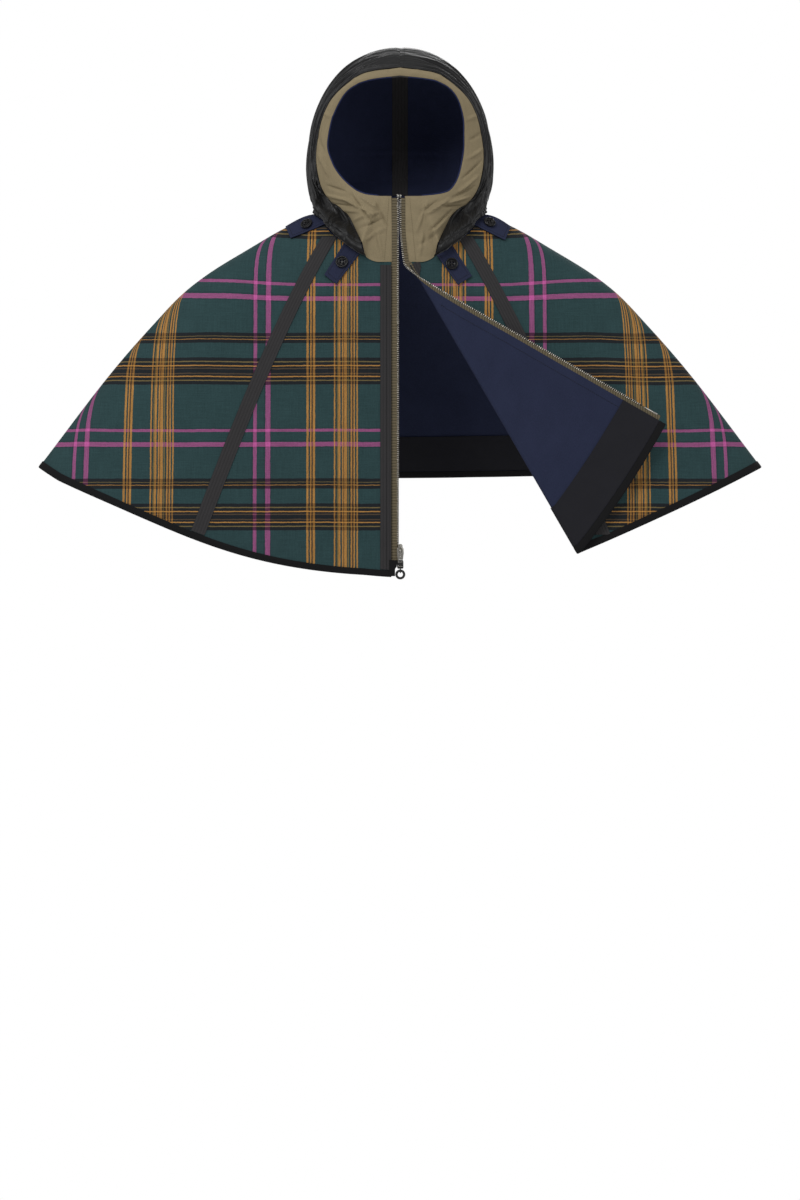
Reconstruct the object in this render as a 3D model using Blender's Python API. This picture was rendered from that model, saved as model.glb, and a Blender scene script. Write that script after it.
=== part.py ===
"""Hooded cape with a two-way front zip, filled out as if worn, with nobody in it.

Metres, +Z up. The front faces -Y and the wearer's right is at -X. The origin is at the middle of the neck, at
the height where the shoulders begin. Angles run round the neck: 0 at the centre front, 90 at the wearer's left
side and 180 at the centre back. Every cloth piece is a wall on a grid of points: its rows run down and its
columns run from left to right as seen from outside, so a row step crossed with a column step points out of the
cloth.
"""
from math import cos, pi, radians, sin

import bmesh
import bpy
import numpy as np
from mathutils import Matrix, Vector

MM = 0.001

# Walls, seams and trims
SEAM_GAP = 0.3 * MM
BODY_WALL = 2.0 * MM
NYLON_WALL = 1.6 * MM
LINING_WALL = 1.4 * MM
KHAKI_WALL = 1.6 * MM
TRIM_WALL = 1.0 * MM
TAPE_REACH = 12.2 * MM
STRIP_WIDTH = 17.6 * MM
FACING_WIDTH = 64 * MM
BINDING_WIDTH = 10 * MM
BINDING_WALL = 0.9 * MM

# Body outline: half width across and half depths fore and aft, at heights from the neck down
BODY_COLUMNS = ("height", "half_width", "front_depth", "back_depth")
BODY_OUTLINE = (
    (45, 74, 68, 70),
    (0, 134, 88, 96),
    (-20, 180, 97, 106),
    (-55, 241, 108, 120),
    (-95, 306, 119, 132),
    (-126, 346, 127, 140),
    (-175, 393, 137, 150),
    (-242, 452, 150, 162),
    (-403, 576, 175, 180),
    (-600, 728, 203, 200),
)

# Hem heights at the sides, and for each front and the back the height at its centre and how fast it rises
HEM_SIDE = -403 * MM
HEM_RIGHT = (-578 * MM, 1.5)
HEM_LEFT = (-675 * MM, 0.8)
HEM_BACK = (-418 * MM, 1.5)

# Neck edge of the body and the hood's edge that lies over it
NECK_FRONT = -82 * MM
NECK_SIDE = 2 * MM
NECK_BACK = 14 * MM
NECK_RISE = 1.1
HOOD_LAP = 14 * MM

# Slanted front seams, from the neck to the hem, and the plain seam behind each side
SEAM_TOP = (106 * MM, -29 * MM)
SEAM_FOOT = (320 * MM, -506 * MM)
SEAM_BOW = 14 * MM
SEAM_BOW_HIGH = 0.75
SEAM_LEFT_IN = 9 * MM
SIDE_SEAM = 104
BACK_SEAM_STEP = 0.2

# Right front edge, and the zip that runs beside it
FRONT_EDGE = 13.8 * MM
TEETH_OUTER = 1.6 * MM
TEETH_INNER = 5.0 * MM

# Left front, turned back along a slanted roll: the roll's edge and the zip's edge as seen from the front
ROLL_TOP = (16 * MM, -80 * MM)
ROLL_TIP = (282 * MM, -541 * MM)
ZIP_START = (5 * MM, -80 * MM)
ZIP_TURN = (16 * MM, -96 * MM)
ZIP_STRAIGHT = (50 * MM, -115 * MM)
ZIP_CORNER = (418 * MM, -334 * MM)
ZIP_TURN_SHARE = 0.118
TURN_RADIUS = 4.5 * MM
TURN_START = 0.35
TURN_SHARE = 0.13
FLAP_LIFT = 0.06
FLAP_HEM_BOW = 7 * MM
FACING_SHARE = 0.845
BINDING_SHARE = 0.98
ZIP_WIDTH = 9.0 * MM
TEETH_WIDTH = 3.5 * MM

# Left zip edge at the throat: height and the outer side of the teeth
THROAT_COLUMNS = ("height", "teeth_outer")
THROAT_ZIP = ((30, -1.2), (-20, -1.0), (-55, 1.6), (-81, 5.0))
THROAT_TOP = 28 * MM
THROAT_DEPTH = 107 * MM
ZIP_TOP = 25 * MM

# Khaki hood facing, one row for each station from the crown to the centre front: inner (face) and outer edge
KHAKI_COLUMNS = ("inner_x", "inner_z", "inner_depth", "outer_x", "outer_z", "outer_depth")
KHAKI_STATIONS = (
    (0, 221, 90, 0, 234, 80),
    (45, 215, 88, 54, 226, 77),
    (75, 200, 82, 90, 203, 70),
    (96, 174, 76, 114, 176, 61),
    (107, 142, 70, 128, 138, 53),
    (110, 110, 67, 134, 91, 48),
    (104, 80, 69, 128, 50, 50),
    (88, 53, 77, 110, 18, 60),
    (67, 35, 90, 83, -2, 80),
    (48, 30, 98, 70, -27, 96),
)
KHAKI_WIDEST = 5
KHAKI_CORNER = (35, 103)
THROAT_STATION_COLUMNS = ("inner_x", "inner_depth", "outer_x")
THROAT_STATIONS = ((27, 105, 54), (20, 106, 34))
KHAKI_PUFF = 3 * MM
THROAT_GAP = 1.3 * MM
KHAKI_SEAM_BACK = 1.6 * MM

# Hood ribs from front to back: crown point, widest point and the angle where the rib meets the neck
RIB_COLUMNS = ("crown_depth", "crown_z", "half_width", "wide_depth", "wide_z", "neck_angle")
HOOD_RIBS = (
    (52, 254, 143, 25, 80, 55),
    (12, 267, 147, -2, 75, 88),
    (-42, 254, 140, -36, 68, 112),
    (-92, 204, 117, -68, 58, 132),
    (-124, 132, 80, -98, 48, 150),
    (-124, 82, 38, -116, 52, 166),
    (-112, 54, 0.6, -111, 48, 179.7),
)
RIB_FULLNESS = 2.15
RIB_STATIONS = (0, 0.33, 0.67, 1, 1.5, 2, 2.5, 3, 3.5, 4, 4.5, 5, 6, 7)
CROWN_STEPS = 7
CHEEK_STEPS = 4
LINING_INSET = 9 * MM
LINING_BEHIND_FACE = 2.3 * MM
LINING_BEHIND_EDGE = 9 * MM
LINING_NARROWING = 0.95
LINING_LIFT = 2 * MM
HOOD_TAPE_REACH = 12.5 * MM

# Gathered roll round the hood's neck edge
NECK_ROLL_FRONT = 14
NECK_ROLL_HALF_WIDTH = 11 * MM
NECK_ROLL_HALF_THICK = 8 * MM
NECK_ROLL_STATIONS = 37
NECK_ROLL_CLEARANCE = 1.0 * MM
NECK_ROLL_MEETING = 40

# Button tabs, corners as seen from the front, the two at the hood first, and each button's centre
TAB_COLUMNS = ("name", "root_a", "root_b", "tip_b", "tip_a", "button")
TABS = (
    ("shoulder_right", (-138, -4.5), (-129, -19.5), (-173, -38), (-181, -20), (-147, -16)),
    ("front_right", (-91, -52), (-66, -67), (-101, -114), (-120, -99), (-92, -79)),
    ("front_left", (58, -67), (84, -53), (114, -101), (92, -115), (82, -82)),
    ("shoulder_left", (129, -22), (141, -6), (175, -20), (166, -41), (140, -14)),
)
TAB_WALL = 1.5 * MM
BUTTON_RADIUS = 10 * MM

# Zip hardware at the foot of the right front
SLIDER_X = 0.5 * MM
SLIDER_TOP = -532 * MM
SLIDER_HEIGHT = 20 * MM
SLIDER_HALF_WIDTH = 5.4 * MM
SLIDER_HALF_DEPTH = 3.6 * MM
LOWER_HEIGHT = 14 * MM
RING_RADIUS = 8.0 * MM
RING_HOLE = 4.6 * MM
RING_WALL = 2.0 * MM

COLOURS = {
    "plaid_wool": (0.10, 0.13, 0.12, 0.9),
    "grey_tape": (0.05, 0.05, 0.05, 0.8),
    "black_binding": (0.012, 0.012, 0.013, 0.7),
    "black_nylon": (0.02, 0.02, 0.02, 0.45),
    "khaki_cotton": (0.2, 0.165, 0.1, 0.85),
    "navy_wool": (0.018, 0.022, 0.05, 0.9),
    "zip_tape": (0.09, 0.08, 0.045, 0.8),
    "zip_metal": (0.7, 0.7, 0.7, 0.3),
    "black_metal": (0.02, 0.02, 0.02, 0.4),
    "button_horn": (0.02, 0.02, 0.022, 0.4),
}
METALS = ("zip_metal", "black_metal")

for old in list(bpy.data.objects):
    bpy.data.objects.remove(old, do_unlink=True)


# Curves and vectors
def smooth_curve(xs, ys):
    """A smooth curve through a short table that never overshoots it."""
    xs = np.array(xs, float)
    ys = np.array(ys, float)
    if xs[0] > xs[-1]:
        xs = xs[::-1]
        ys = ys[::-1]
    step = np.diff(xs)
    rise = np.diff(ys) / step
    slope = np.zeros(len(xs))
    slope[0] = rise[0]
    slope[-1] = rise[-1]
    for k in range(1, len(xs) - 1):
        if rise[k - 1] * rise[k] > 0:
            before = 2 * step[k] + step[k - 1]
            after = step[k] + 2 * step[k - 1]
            slope[k] = (before + after) / (before / rise[k - 1] + after / rise[k])

    def value(x):
        k = int(np.clip(np.searchsorted(xs, x) - 1, 0, len(step) - 1))
        t = np.clip((x - xs[k]) / step[k], 0, 1)
        ease = t * t * (3 - 2 * t)
        lead = t * (1 - t) * (1 - t) * slope[k] - t * t * (1 - t) * slope[k + 1]
        return ys[k] * (1 - ease) + ys[k + 1] * ease + lead * step[k]

    return value


def column(table, names, name):
    return [row[names.index(name)] * MM for row in table]


def mix(a, b, share):
    return a + (b - a) * share


def unit(v):
    return v / np.linalg.norm(v)


def ease(share):
    share = np.clip(share, 0, 1)
    return share * share * (3 - 2 * share)


# Body form: an oval section at every height
body_heights = column(BODY_OUTLINE, BODY_COLUMNS, "height")
half_width = smooth_curve(body_heights, column(BODY_OUTLINE, BODY_COLUMNS, "half_width"))
front_depth = smooth_curve(body_heights, column(BODY_OUTLINE, BODY_COLUMNS, "front_depth"))
back_depth = smooth_curve(body_heights, column(BODY_OUTLINE, BODY_COLUMNS, "back_depth"))


def body_point(angle, z):
    depth = front_depth(z) if cos(radians(angle)) >= 0 else back_depth(z)
    return np.array((half_width(z) * sin(radians(angle)), -depth * cos(radians(angle)), z))


def front_point(x, z):
    share = np.clip(x / half_width(z), -0.985, 0.985)
    return np.array((share * half_width(z), -front_depth(z) * (1 - share * share) ** 0.5, z))


def angle_at(x, z):
    return np.degrees(np.arcsin(np.clip(x / half_width(z), -1, 1)))


def neck_height(x):
    """Height of the neck edge at a distance from the centre front."""
    z = NECK_FRONT
    for _ in range(40):
        z = mix(z, neck_edge(angle_at(x, z)), 0.5)
    return z


def normal_at(point):
    """Direction out of the body at a point of it."""
    x, y, z = point
    depth = front_depth(z) if y <= 0 else back_depth(z)
    return body_normal(np.degrees(np.arctan2(x / half_width(z), -y / depth)), z)


def body_normal(angle, z):
    round_step = body_point(angle + 0.5, z) - body_point(angle - 0.5, z)
    down_step = body_point(angle, z - MM) - body_point(angle, z + MM)
    return unit(np.cross(down_step, round_step))


def hood_edge(angle):
    """Height at which the hood's edge lies on the body."""
    side = abs(sin(radians(angle)))
    if cos(radians(angle)) >= 0:
        return NECK_FRONT + (NECK_SIDE - NECK_FRONT) * side ** NECK_RISE
    return NECK_SIDE + (NECK_BACK - NECK_SIDE) * (1 - side)


def neck_edge(angle):
    side = abs(sin(radians(angle)))
    return hood_edge(angle) + HOOD_LAP * (side if cos(radians(angle)) >= 0 else 1)


def hem_height(angle):
    side = abs(sin(radians(angle)))
    if cos(radians(angle)) < 0:
        middle, power = HEM_BACK
    elif sin(radians(angle)) < 0:
        middle, power = HEM_RIGHT
    else:
        middle, power = HEM_LEFT
    return middle + (HEM_SIDE - middle) * side ** power


def seam_x(z, side):
    """Distance of a slanted front seam from the centre front, for the left (1) or right (-1); it bows outward."""
    share = (SEAM_TOP[1] - z) / (SEAM_TOP[1] - SEAM_FOOT[1])
    within = min(max(share, 0), 1)
    bow = SEAM_BOW * sin(pi * within ** SEAM_BOW_HIGH)
    if side > 0:
        bow -= SEAM_LEFT_IN * (1 - within)
    return mix(SEAM_TOP[0], SEAM_FOOT[0], share) + bow


# Solids
def solid(name, vertices, faces, material):
    mesh = bpy.data.meshes.new(name)
    mesh.from_pydata([tuple(v) for v in vertices], [], faces)
    mesh.update()
    obj = bpy.data.objects.new(name, mesh)
    bpy.context.scene.collection.objects.link(obj)
    obj.data.materials.append(materials[material])
    return obj


def grid_normals(grid):
    down = np.gradient(grid, axis=0)
    across = np.gradient(grid, axis=1)
    normals = np.cross(down, across)
    return normals / np.linalg.norm(normals, axis=2, keepdims=True)


def wall(name, grid, normals, low, high, material):
    """A closed wall between two offsets of a grid along its normals."""
    rows, cols = grid.shape[:2]
    outer = (grid + normals * high).reshape(-1, 3)
    inner = (grid + normals * low).reshape(-1, 3)
    count = rows * cols
    faces = []
    for i in range(rows - 1):
        for j in range(cols - 1):
            a = i * cols + j
            b = a + 1
            c = a + cols
            d = c + 1
            faces += [(a, c, d), (a, d, b)]
            faces += [(count + a, count + d, count + c), (count + a, count + b, count + d)]
    top = list(range(cols))
    right = [i * cols + cols - 1 for i in range(1, rows)]
    foot = [(rows - 1) * cols + j for j in range(cols - 2, -1, -1)]
    left = [i * cols for i in range(rows - 2, 0, -1)]
    rim = top + right + foot + left
    for k, a in enumerate(rim):
        b = rim[(k + 1) % len(rim)]
        faces += [(a, b, count + b), (a, count + b, count + a)]
    return solid(name, np.vstack((outer, inner)), faces, material)


def loft(name, sections, material):
    """A closed solid through sections that all have the same number of points."""
    sections = np.array(sections)
    count, points = sections.shape[:2]
    faces = []
    for i in range(count - 1):
        for j in range(points):
            a = i * points + j
            b = i * points + (j + 1) % points
            faces += [(a, b, b + points), (a, b + points, a + points)]
    faces.append(tuple(range(points - 1, -1, -1)))
    faces.append(tuple((count - 1) * points + j for j in range(points)))
    obj = solid(name, sections.reshape(-1, 3), faces, material)
    face_out(obj)
    return obj


def face_out(obj):
    shape = bmesh.new()
    shape.from_mesh(obj.data)
    bmesh.ops.recalc_face_normals(shape, faces=shape.faces)
    shape.to_mesh(obj.data)
    shape.free()


def plate(name, outline, plane, place, material):
    """An outline extruded through a thickness: plane XZ runs through Y, plane YZ runs through X."""
    near, far = place
    sections = []
    for through in (near, far):
        if plane == "XZ":
            sections.append([(a, through, b) for a, b in outline])
        else:
            sections.append([(through, a, b) for a, b in outline])
    return loft(name, sections, material)


def combine(obj, other, operation):
    """Join or cut with another solid, which is then taken away."""
    modifier = obj.modifiers.new(operation, "BOOLEAN")
    modifier.operation = operation
    modifier.object = other
    modifier.solver = "EXACT"
    graph = bpy.context.evaluated_depsgraph_get()
    result = bpy.data.meshes.new_from_object(obj.evaluated_get(graph))
    obj.modifiers.clear()
    obj.data = result
    bpy.data.objects.remove(other, do_unlink=True)


def set_origin(obj, place):
    """Puts an object's origin on its joint's axis without moving its mesh."""
    place = Vector(place)
    obj.data.transform(Matrix.Translation(-place))
    obj.location = place


def make_material(name):
    red, green, blue, roughness = COLOURS[name]
    made = bpy.data.materials.new(name)
    made.use_nodes = True
    shader = made.node_tree.nodes["Principled BSDF"]
    shader.inputs["Base Color"].default_value = (red, green, blue, 1)
    shader.inputs["Roughness"].default_value = roughness
    shader.inputs["Metallic"].default_value = 1.0 if name in METALS else 0.0
    return made


materials = {name: make_material(name) for name in COLOURS}


# Body panels: rows at equal steps to the hem facing, then at the binding and at the hem
ROW_SHARES = (0, 0.04, 0.1, 0.22, 0.38, 0.56, 0.78, 1)
NECK_ROWS = len(ROW_SHARES)


def column_points(x_or_angle, is_angle):
    """Points down one line of a panel, from the neck to the hem. The line gives its place at each height."""
    def angle(z):
        return x_or_angle(z) if is_angle else angle_at(x_or_angle(z), z)

    top = 0.0
    foot = HEM_SIDE
    for _ in range(40):
        top = mix(top, neck_edge(angle(top)), 0.5)
        foot = mix(foot, hem_height(angle(foot)), 0.5)
    facing = foot + FACING_WIDTH
    heights = [mix(top, facing, share) for share in ROW_SHARES]
    heights += [foot + BINDING_WIDTH, foot]
    return [body_point(angle(z), z) for z in heights]


def panel(lines):
    return np.array([column_points(line, is_angle) for line, is_angle in lines]).transpose(1, 0, 2)


def shift(side, offset):
    return lambda z: seam_x(z, side) + offset


def mirror_x(line):
    return lambda z: -line(z)


def between(start, end, share):
    return lambda z: mix(start(z), end(z), share)


def level(value):
    return lambda z: value


def side_lines(sign):
    """Lines of a side panel from its slanted front seam to its back seam, for the left (1) or right (-1)."""
    def tape_angle(z):
        return angle_at(seam_x(z, sign) + TAPE_REACH, z)

    lines = [(lambda z: sign * angle_at(seam_x(z, sign) + SEAM_GAP / 2, z), True)]
    steps = 8
    for k in range(steps + 1):
        share = k / steps
        lines.append((lambda z, s=share: sign * mix(tape_angle(z), SIDE_SEAM, s), True))
    return lines


right_edge = level(FRONT_EDGE)
right_strip = level(FRONT_EDGE + STRIP_WIDTH)
right_lines = [shift(-1, -SEAM_GAP / 2), shift(-1, -TAPE_REACH)]
right_lines += [between(shift(-1, -TAPE_REACH), right_strip, k / 3) for k in (1, 2, 3)]
right_lines.append(right_edge)
front_right = panel([(mirror_x(line), False) for line in right_lines])
side_left = panel(side_lines(1))
side_right = panel(side_lines(-1)[::-1])

BACK_STEPS = 16
back_start = SIDE_SEAM + BACK_SEAM_STEP
back_angles = [mix(back_start, 360 - back_start, k / BACK_STEPS) for k in range(BACK_STEPS + 1)]
back = panel([(level(angle), True) for angle in back_angles])


# Left front: strip on the body, roll, and turned-back flap
FLAP_STEPS = 5
TURN_STEPS = 6
STRIP_STEPS = 4


def roll_edge(share):
    return np.array([mix(a, b, share) for a, b in zip(ROLL_TOP, ROLL_TIP)])


def zip_edge(share):
    """Outer side of the left zip's teeth, as seen from the front."""
    start, turn, straight, corner = [np.array(p) for p in (ZIP_START, ZIP_TURN, ZIP_STRAIGHT, ZIP_CORNER)]
    if share < ZIP_TURN_SHARE:
        t = share / ZIP_TURN_SHARE
        return start * (1 - t) ** 2 + 2 * turn * t * (1 - t) + straight * t * t
    return mix(straight, corner, (share - ZIP_TURN_SHARE) / (1 - ZIP_TURN_SHARE))


def turn_angle(share):
    return mix(TURN_START, pi, ease(share / TURN_SHARE))


def lifted(place, lift):
    """A point seen at a place of the front view, lifted off the body."""
    x, z = place
    return front_point(x, z) + body_normal(angle_at(x, z), z) * lift


def flap_row(share):
    """Points of one row of the left front, from the zip's teeth to where the roll leaves the body."""
    edge = roll_edge(share)
    along = unit(np.array(ROLL_TIP) - np.array(ROLL_TOP))
    inward = np.array((-along[1], along[0]))
    turn = turn_angle(share)
    tangent = edge + inward * TURN_RADIUS * sin(min(turn, pi / 2))
    turned = []
    for k in range(TURN_STEPS + 1):
        part = turn * k / TURN_STEPS
        turned.append(lifted(tangent - inward * TURN_RADIUS * sin(part), TURN_RADIUS * (1 - cos(part))))
    teeth = zip_edge(share)
    reach = np.linalg.norm(teeth - edge)
    rise = 2 * TURN_RADIUS * ease(share / (TURN_SHARE / 2)) + FLAP_LIFT * reach
    roll_end = tangent - inward * TURN_RADIUS * sin(turn)
    lift_end = TURN_RADIUS * (1 - cos(turn))
    tip = lifted(teeth, rise)
    length = np.linalg.norm(tip - turned[-1])
    bow = FLAP_HEM_BOW * share ** 6

    def flap_point(distance):
        part = distance / length
        place = mix(roll_end, teeth, part) + along * bow * 4 * part * (1 - part)
        return lifted(place, mix(lift_end, rise, part))

    cloth = length - ZIP_WIDTH
    strip = min(STRIP_WIDTH, 0.6 * cloth)
    distances = [(cloth - strip) * k / (FLAP_STEPS - 1) for k in range(FLAP_STEPS)] + [cloth]
    zip_places = [cloth + SEAM_GAP, length - TEETH_WIDTH - SEAM_GAP, length - TEETH_WIDTH, length]
    zip_points = [flap_point(d) for d in zip_places]
    flap = [flap_point(d) for d in distances[:0:-1]]
    return zip_points, flap + turned[::-1], tangent


row_shares = [FACING_SHARE * share for share in ROW_SHARES] + [BINDING_SHARE, 1.0]
seam_edge = column_points(shift(1, -SEAM_GAP / 2), False)
seam_tape_line = column_points(shift(1, -TAPE_REACH), False)
left_rows = []
left_zip_rows = []
for i, row_share in enumerate(row_shares):
    zip_points, turned_points, tangent_place = flap_row(row_share)
    tape_place = seam_tape_line[i][[0, 2]]
    strip_points = []
    for k in range(1, STRIP_STEPS):
        place = mix(tangent_place, tape_place, k / STRIP_STEPS)
        neck_row = mix(flap_row(0)[2], seam_tape_line[0][[0, 2]], k / STRIP_STEPS)
        neck_gap = neck_height(neck_row[0]) - neck_row[1]
        place[1] += neck_gap * (1 - row_share) ** 3
        strip_points.append(front_point(place[0], place[1]))
    left_rows.append(turned_points + strip_points + [seam_tape_line[i], seam_edge[i]])
    left_zip_rows.append(zip_points)
front_left = np.array(left_rows)
left_zip = np.array(left_zip_rows)

panels = {
    "front_left": front_left,
    "side_left": side_left,
    "back": back,
    "side_right": side_right,
    "front_right": front_right,
}
panel_normals = {name: np.apply_along_axis(normal_at, 2, grid) for name, grid in panels.items()}
with_zip = np.concatenate((left_zip[:, ::-1], front_left), axis=1)
turned_columns = FLAP_STEPS + TURN_STEPS
panel_normals["front_left"][:, :turned_columns] = grid_normals(with_zip)[:, 4:4 + turned_columns]
for name, grid in panels.items():
    wall(name, grid, panel_normals[name], -BODY_WALL / 2, BODY_WALL / 2, "plaid_wool")


# Trims that lie on the panels
TRIM_LOW = BODY_WALL / 2 + SEAM_GAP
TRIM_HIGH = TRIM_LOW + TRIM_WALL
BINDING_ROW = NECK_ROWS
FACING_ROW = NECK_ROWS - 1
TRIM_END = 0.012


def part_of(name, rows, cols):
    return panels[name][rows, cols], panel_normals[name][rows, cols]


def stop_short(grid, share):
    """Draws the last row back a little, so that the trim ends clear of the binding."""
    grid = grid.copy()
    grid[-1] = mix(grid[-1], grid[-2], share)
    return grid


def start_late(grid, share):
    """Draws the first row down a little, so that the trim starts clear of the hood."""
    grid = grid.copy()
    grid[0] = mix(grid[0], grid[1], share)
    return grid


to_binding = slice(0, BINDING_ROW + 1)
below_roll = slice(1, BINDING_ROW + 1)
below_twist = slice(2, BINDING_ROW + 1)
hem_band = slice(FACING_ROW, BINDING_ROW + 1)
for side, front, last in (("right", "front_right", slice(0, 2)), ("left", "front_left", slice(-2, None))):
    front_grid, front_normals = part_of(front, below_roll, last)
    flank = slice(0, 2) if side == "left" else slice(-2, None)
    flank_grid, flank_normals = part_of("side_" + side, below_roll, flank)
    if side == "left":
        tape_grid = np.concatenate((front_grid, flank_grid[:, 1:]), axis=1)
        tape_normals = np.concatenate((front_normals, flank_normals[:, 1:]), axis=1)
    else:
        tape_grid = np.concatenate((flank_grid, front_grid[:, 1:]), axis=1)
        tape_normals = np.concatenate((flank_normals, front_normals[:, 1:]), axis=1)
    tape_grid = stop_short(tape_grid, TRIM_END * 3)
    wall("seam_tape_" + side, tape_grid, tape_normals, TRIM_LOW, TRIM_HIGH, "grey_tape")

strip_grid, strip_normals = part_of("front_right", to_binding, slice(-2, None))
strip_grid = start_late(stop_short(strip_grid, TRIM_END), 0.15)
wall("facing_strip_right", strip_grid, strip_normals, TRIM_LOW, TRIM_HIGH, "grey_tape")
strip_grid, strip_normals = part_of("front_left", below_twist, slice(0, 2))
wall("facing_strip_left", stop_short(strip_grid, TRIM_END), strip_normals, TRIM_LOW, TRIM_HIGH, "grey_tape")
for name in panels:
    band_grid, band_normals = part_of(name, hem_band, slice(None))
    band_grid = stop_short(band_grid, TRIM_END)
    wall("hem_facing_" + name, band_grid, band_normals, -TRIM_HIGH, -TRIM_LOW, "black_binding")

binding_sections = []
for name, grid in panels.items():
    first = 0 if name == "front_left" else 1
    for j in range(first, grid.shape[1]):
        hem = grid[-1, j]
        upper = grid[BINDING_ROW, j]
        hem_normal = panel_normals[name][-1, j]
        upper_normal = panel_normals[name][BINDING_ROW, j]
        down = unit(hem - upper)
        near = BODY_WALL / 2 + SEAM_GAP
        far = near + BINDING_WALL
        below = down * SEAM_GAP
        lowest = down * (SEAM_GAP + BINDING_WALL)
        binding_sections.append((
            upper + upper_normal * far,
            hem + hem_normal * far + lowest,
            hem - hem_normal * far + lowest,
            upper - upper_normal * far,
            upper - upper_normal * near,
            hem - hem_normal * near + below,
            hem + hem_normal * near + below,
            upper + upper_normal * near,
        ))
loft("hem_binding", binding_sections, "black_binding")


# Zip tapes and teeth
throat_heights = column(THROAT_ZIP, THROAT_COLUMNS, "height")
left_teeth_x = smooth_curve(throat_heights, column(THROAT_ZIP, THROAT_COLUMNS, "teeth_outer"))
ZIP_TAPE_WALL = 1.2 * MM
TEETH_WALL = 2.6 * MM
THROAT_ROWS = 5
THROAT_FOOT = -76 * MM
ZIP_BODY_ROWS = 9


def throat_depth(z):
    return mix(THROAT_DEPTH, front_depth(NECK_FRONT), (THROAT_TOP - z) / (THROAT_TOP - NECK_FRONT))


def zip_point(x, z):
    if z > NECK_FRONT:
        return np.array((x, -throat_depth(z), z))
    return front_point(x, z)


throat_zs = [mix(ZIP_TOP, THROAT_FOOT, k / (THROAT_ROWS - 1)) for k in range(THROAT_ROWS)]
TEETH_FOOT = SLIDER_TOP + 1 * MM
TAPE_FOOT = -560 * MM


def right_zip(x_left, x_right, foot):
    rows = throat_zs + [mix(NECK_FRONT - 20 * MM, foot, k / (ZIP_BODY_ROWS - 1)) for k in range(ZIP_BODY_ROWS)]
    return np.array([[zip_point(-x_left, z), zip_point(-x_right, z)] for z in rows])


right_tape = right_zip(FRONT_EDGE - SEAM_GAP, TEETH_INNER + 2 * SEAM_GAP, TAPE_FOOT)
wall("zip_tape_right", right_tape, grid_normals(right_tape), -ZIP_TAPE_WALL / 2, ZIP_TAPE_WALL / 2, "zip_tape")
right_teeth = right_zip(TEETH_INNER, TEETH_OUTER, TEETH_FOOT)
wall("zip_teeth_right", right_teeth, grid_normals(right_teeth), -TEETH_WALL / 2, TEETH_WALL / 2, "zip_metal")

throat_zip = []
for z in throat_zs:
    outer = left_teeth_x(z)
    places = (outer + ZIP_WIDTH - SEAM_GAP, outer + TEETH_WIDTH + SEAM_GAP, outer + TEETH_WIDTH, outer)
    throat_zip.append([zip_point(x, z) for x in places])
left_zip_all = np.concatenate((np.array(throat_zip), left_zip[:BINDING_ROW]), axis=0)
left_zip_all = left_zip_all[:, ::-1]
left_normals = grid_normals(left_zip_all)
half_tape = ZIP_TAPE_WALL / 2
half_teeth = TEETH_WALL / 2
wall("zip_tape_left", left_zip_all[:, 2:], left_normals[:, 2:], -half_tape, half_tape, "zip_tape")
wall("zip_teeth_left", left_zip_all[:, :2], left_normals[:, :2], -half_teeth, half_teeth, "zip_metal")
pin_rows = np.array([left_zip[FACING_ROW], left_zip[BINDING_ROW]])
pin_ends = (0.01, 0.6)
pin = np.array([[mix(pin_rows[0, c], pin_rows[1, c], end) for c in (3, 2)] for end in pin_ends])
PIN_HALF_WALL = 1.7 * MM
wall("zip_pin", pin, grid_normals(pin), -PIN_HALF_WALL, PIN_HALF_WALL, "zip_metal")


# Gathered roll round the neck
def neck_roll_frame(angle):
    height = hood_edge(angle) + 6 * MM
    out = body_normal(angle, height)
    up = unit(np.array((0, 0, 1)) - out * out[2])
    centre = body_point(angle, height) + out * (BODY_WALL / 2 + NECK_ROLL_CLEARANCE + NECK_ROLL_HALF_THICK)
    return centre, out, up


def neck_roll_top(angle):
    """Where the hood shell ends, on the upper outer side of the roll."""
    centre, out, up = neck_roll_frame(angle)
    meet = radians(NECK_ROLL_MEETING)
    clear = 5 * SEAM_GAP
    return (centre + up * (NECK_ROLL_HALF_WIDTH * cos(meet) + clear)
            + out * (NECK_ROLL_HALF_THICK * sin(meet) + clear))


roll_sections = []
for k in range(NECK_ROLL_STATIONS):
    share = k / (NECK_ROLL_STATIONS - 1)
    angle = mix(NECK_ROLL_FRONT, 360 - NECK_ROLL_FRONT, share)
    centre, out, up = neck_roll_frame(angle)
    end = min(share, 1 - share) * (NECK_ROLL_STATIONS - 1)
    size = 0.55 if end < 0.5 else 1.0
    ring = []
    for corner in range(8):
        around = 2 * pi * corner / 8
        ring.append(centre + up * NECK_ROLL_HALF_WIDTH * size * cos(around)
                    + out * NECK_ROLL_HALF_THICK * size * sin(around))
    roll_sections.append(ring)
loft("hood_roll", roll_sections, "black_nylon")


# Hood ribs, from the khaki facing's outer edge to the nape
rib_values = {}
for place, name in enumerate(RIB_COLUMNS):
    rib_values[name] = smooth_curve(range(1, len(HOOD_RIBS) + 1), [row[place] for row in HOOD_RIBS])
neck_angle = smooth_curve(range(len(HOOD_RIBS) + 1), [NECK_ROLL_FRONT] + [row[-1] for row in HOOD_RIBS])


def outer_edge_point(row):
    values = dict(zip(KHAKI_COLUMNS, row))
    return np.array((values["outer_x"], -values["outer_depth"], values["outer_z"])) * MM


def inner_edge_point(row):
    values = dict(zip(KHAKI_COLUMNS, row))
    return np.array((values["inner_x"], -values["inner_depth"], values["inner_z"])) * MM


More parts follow.
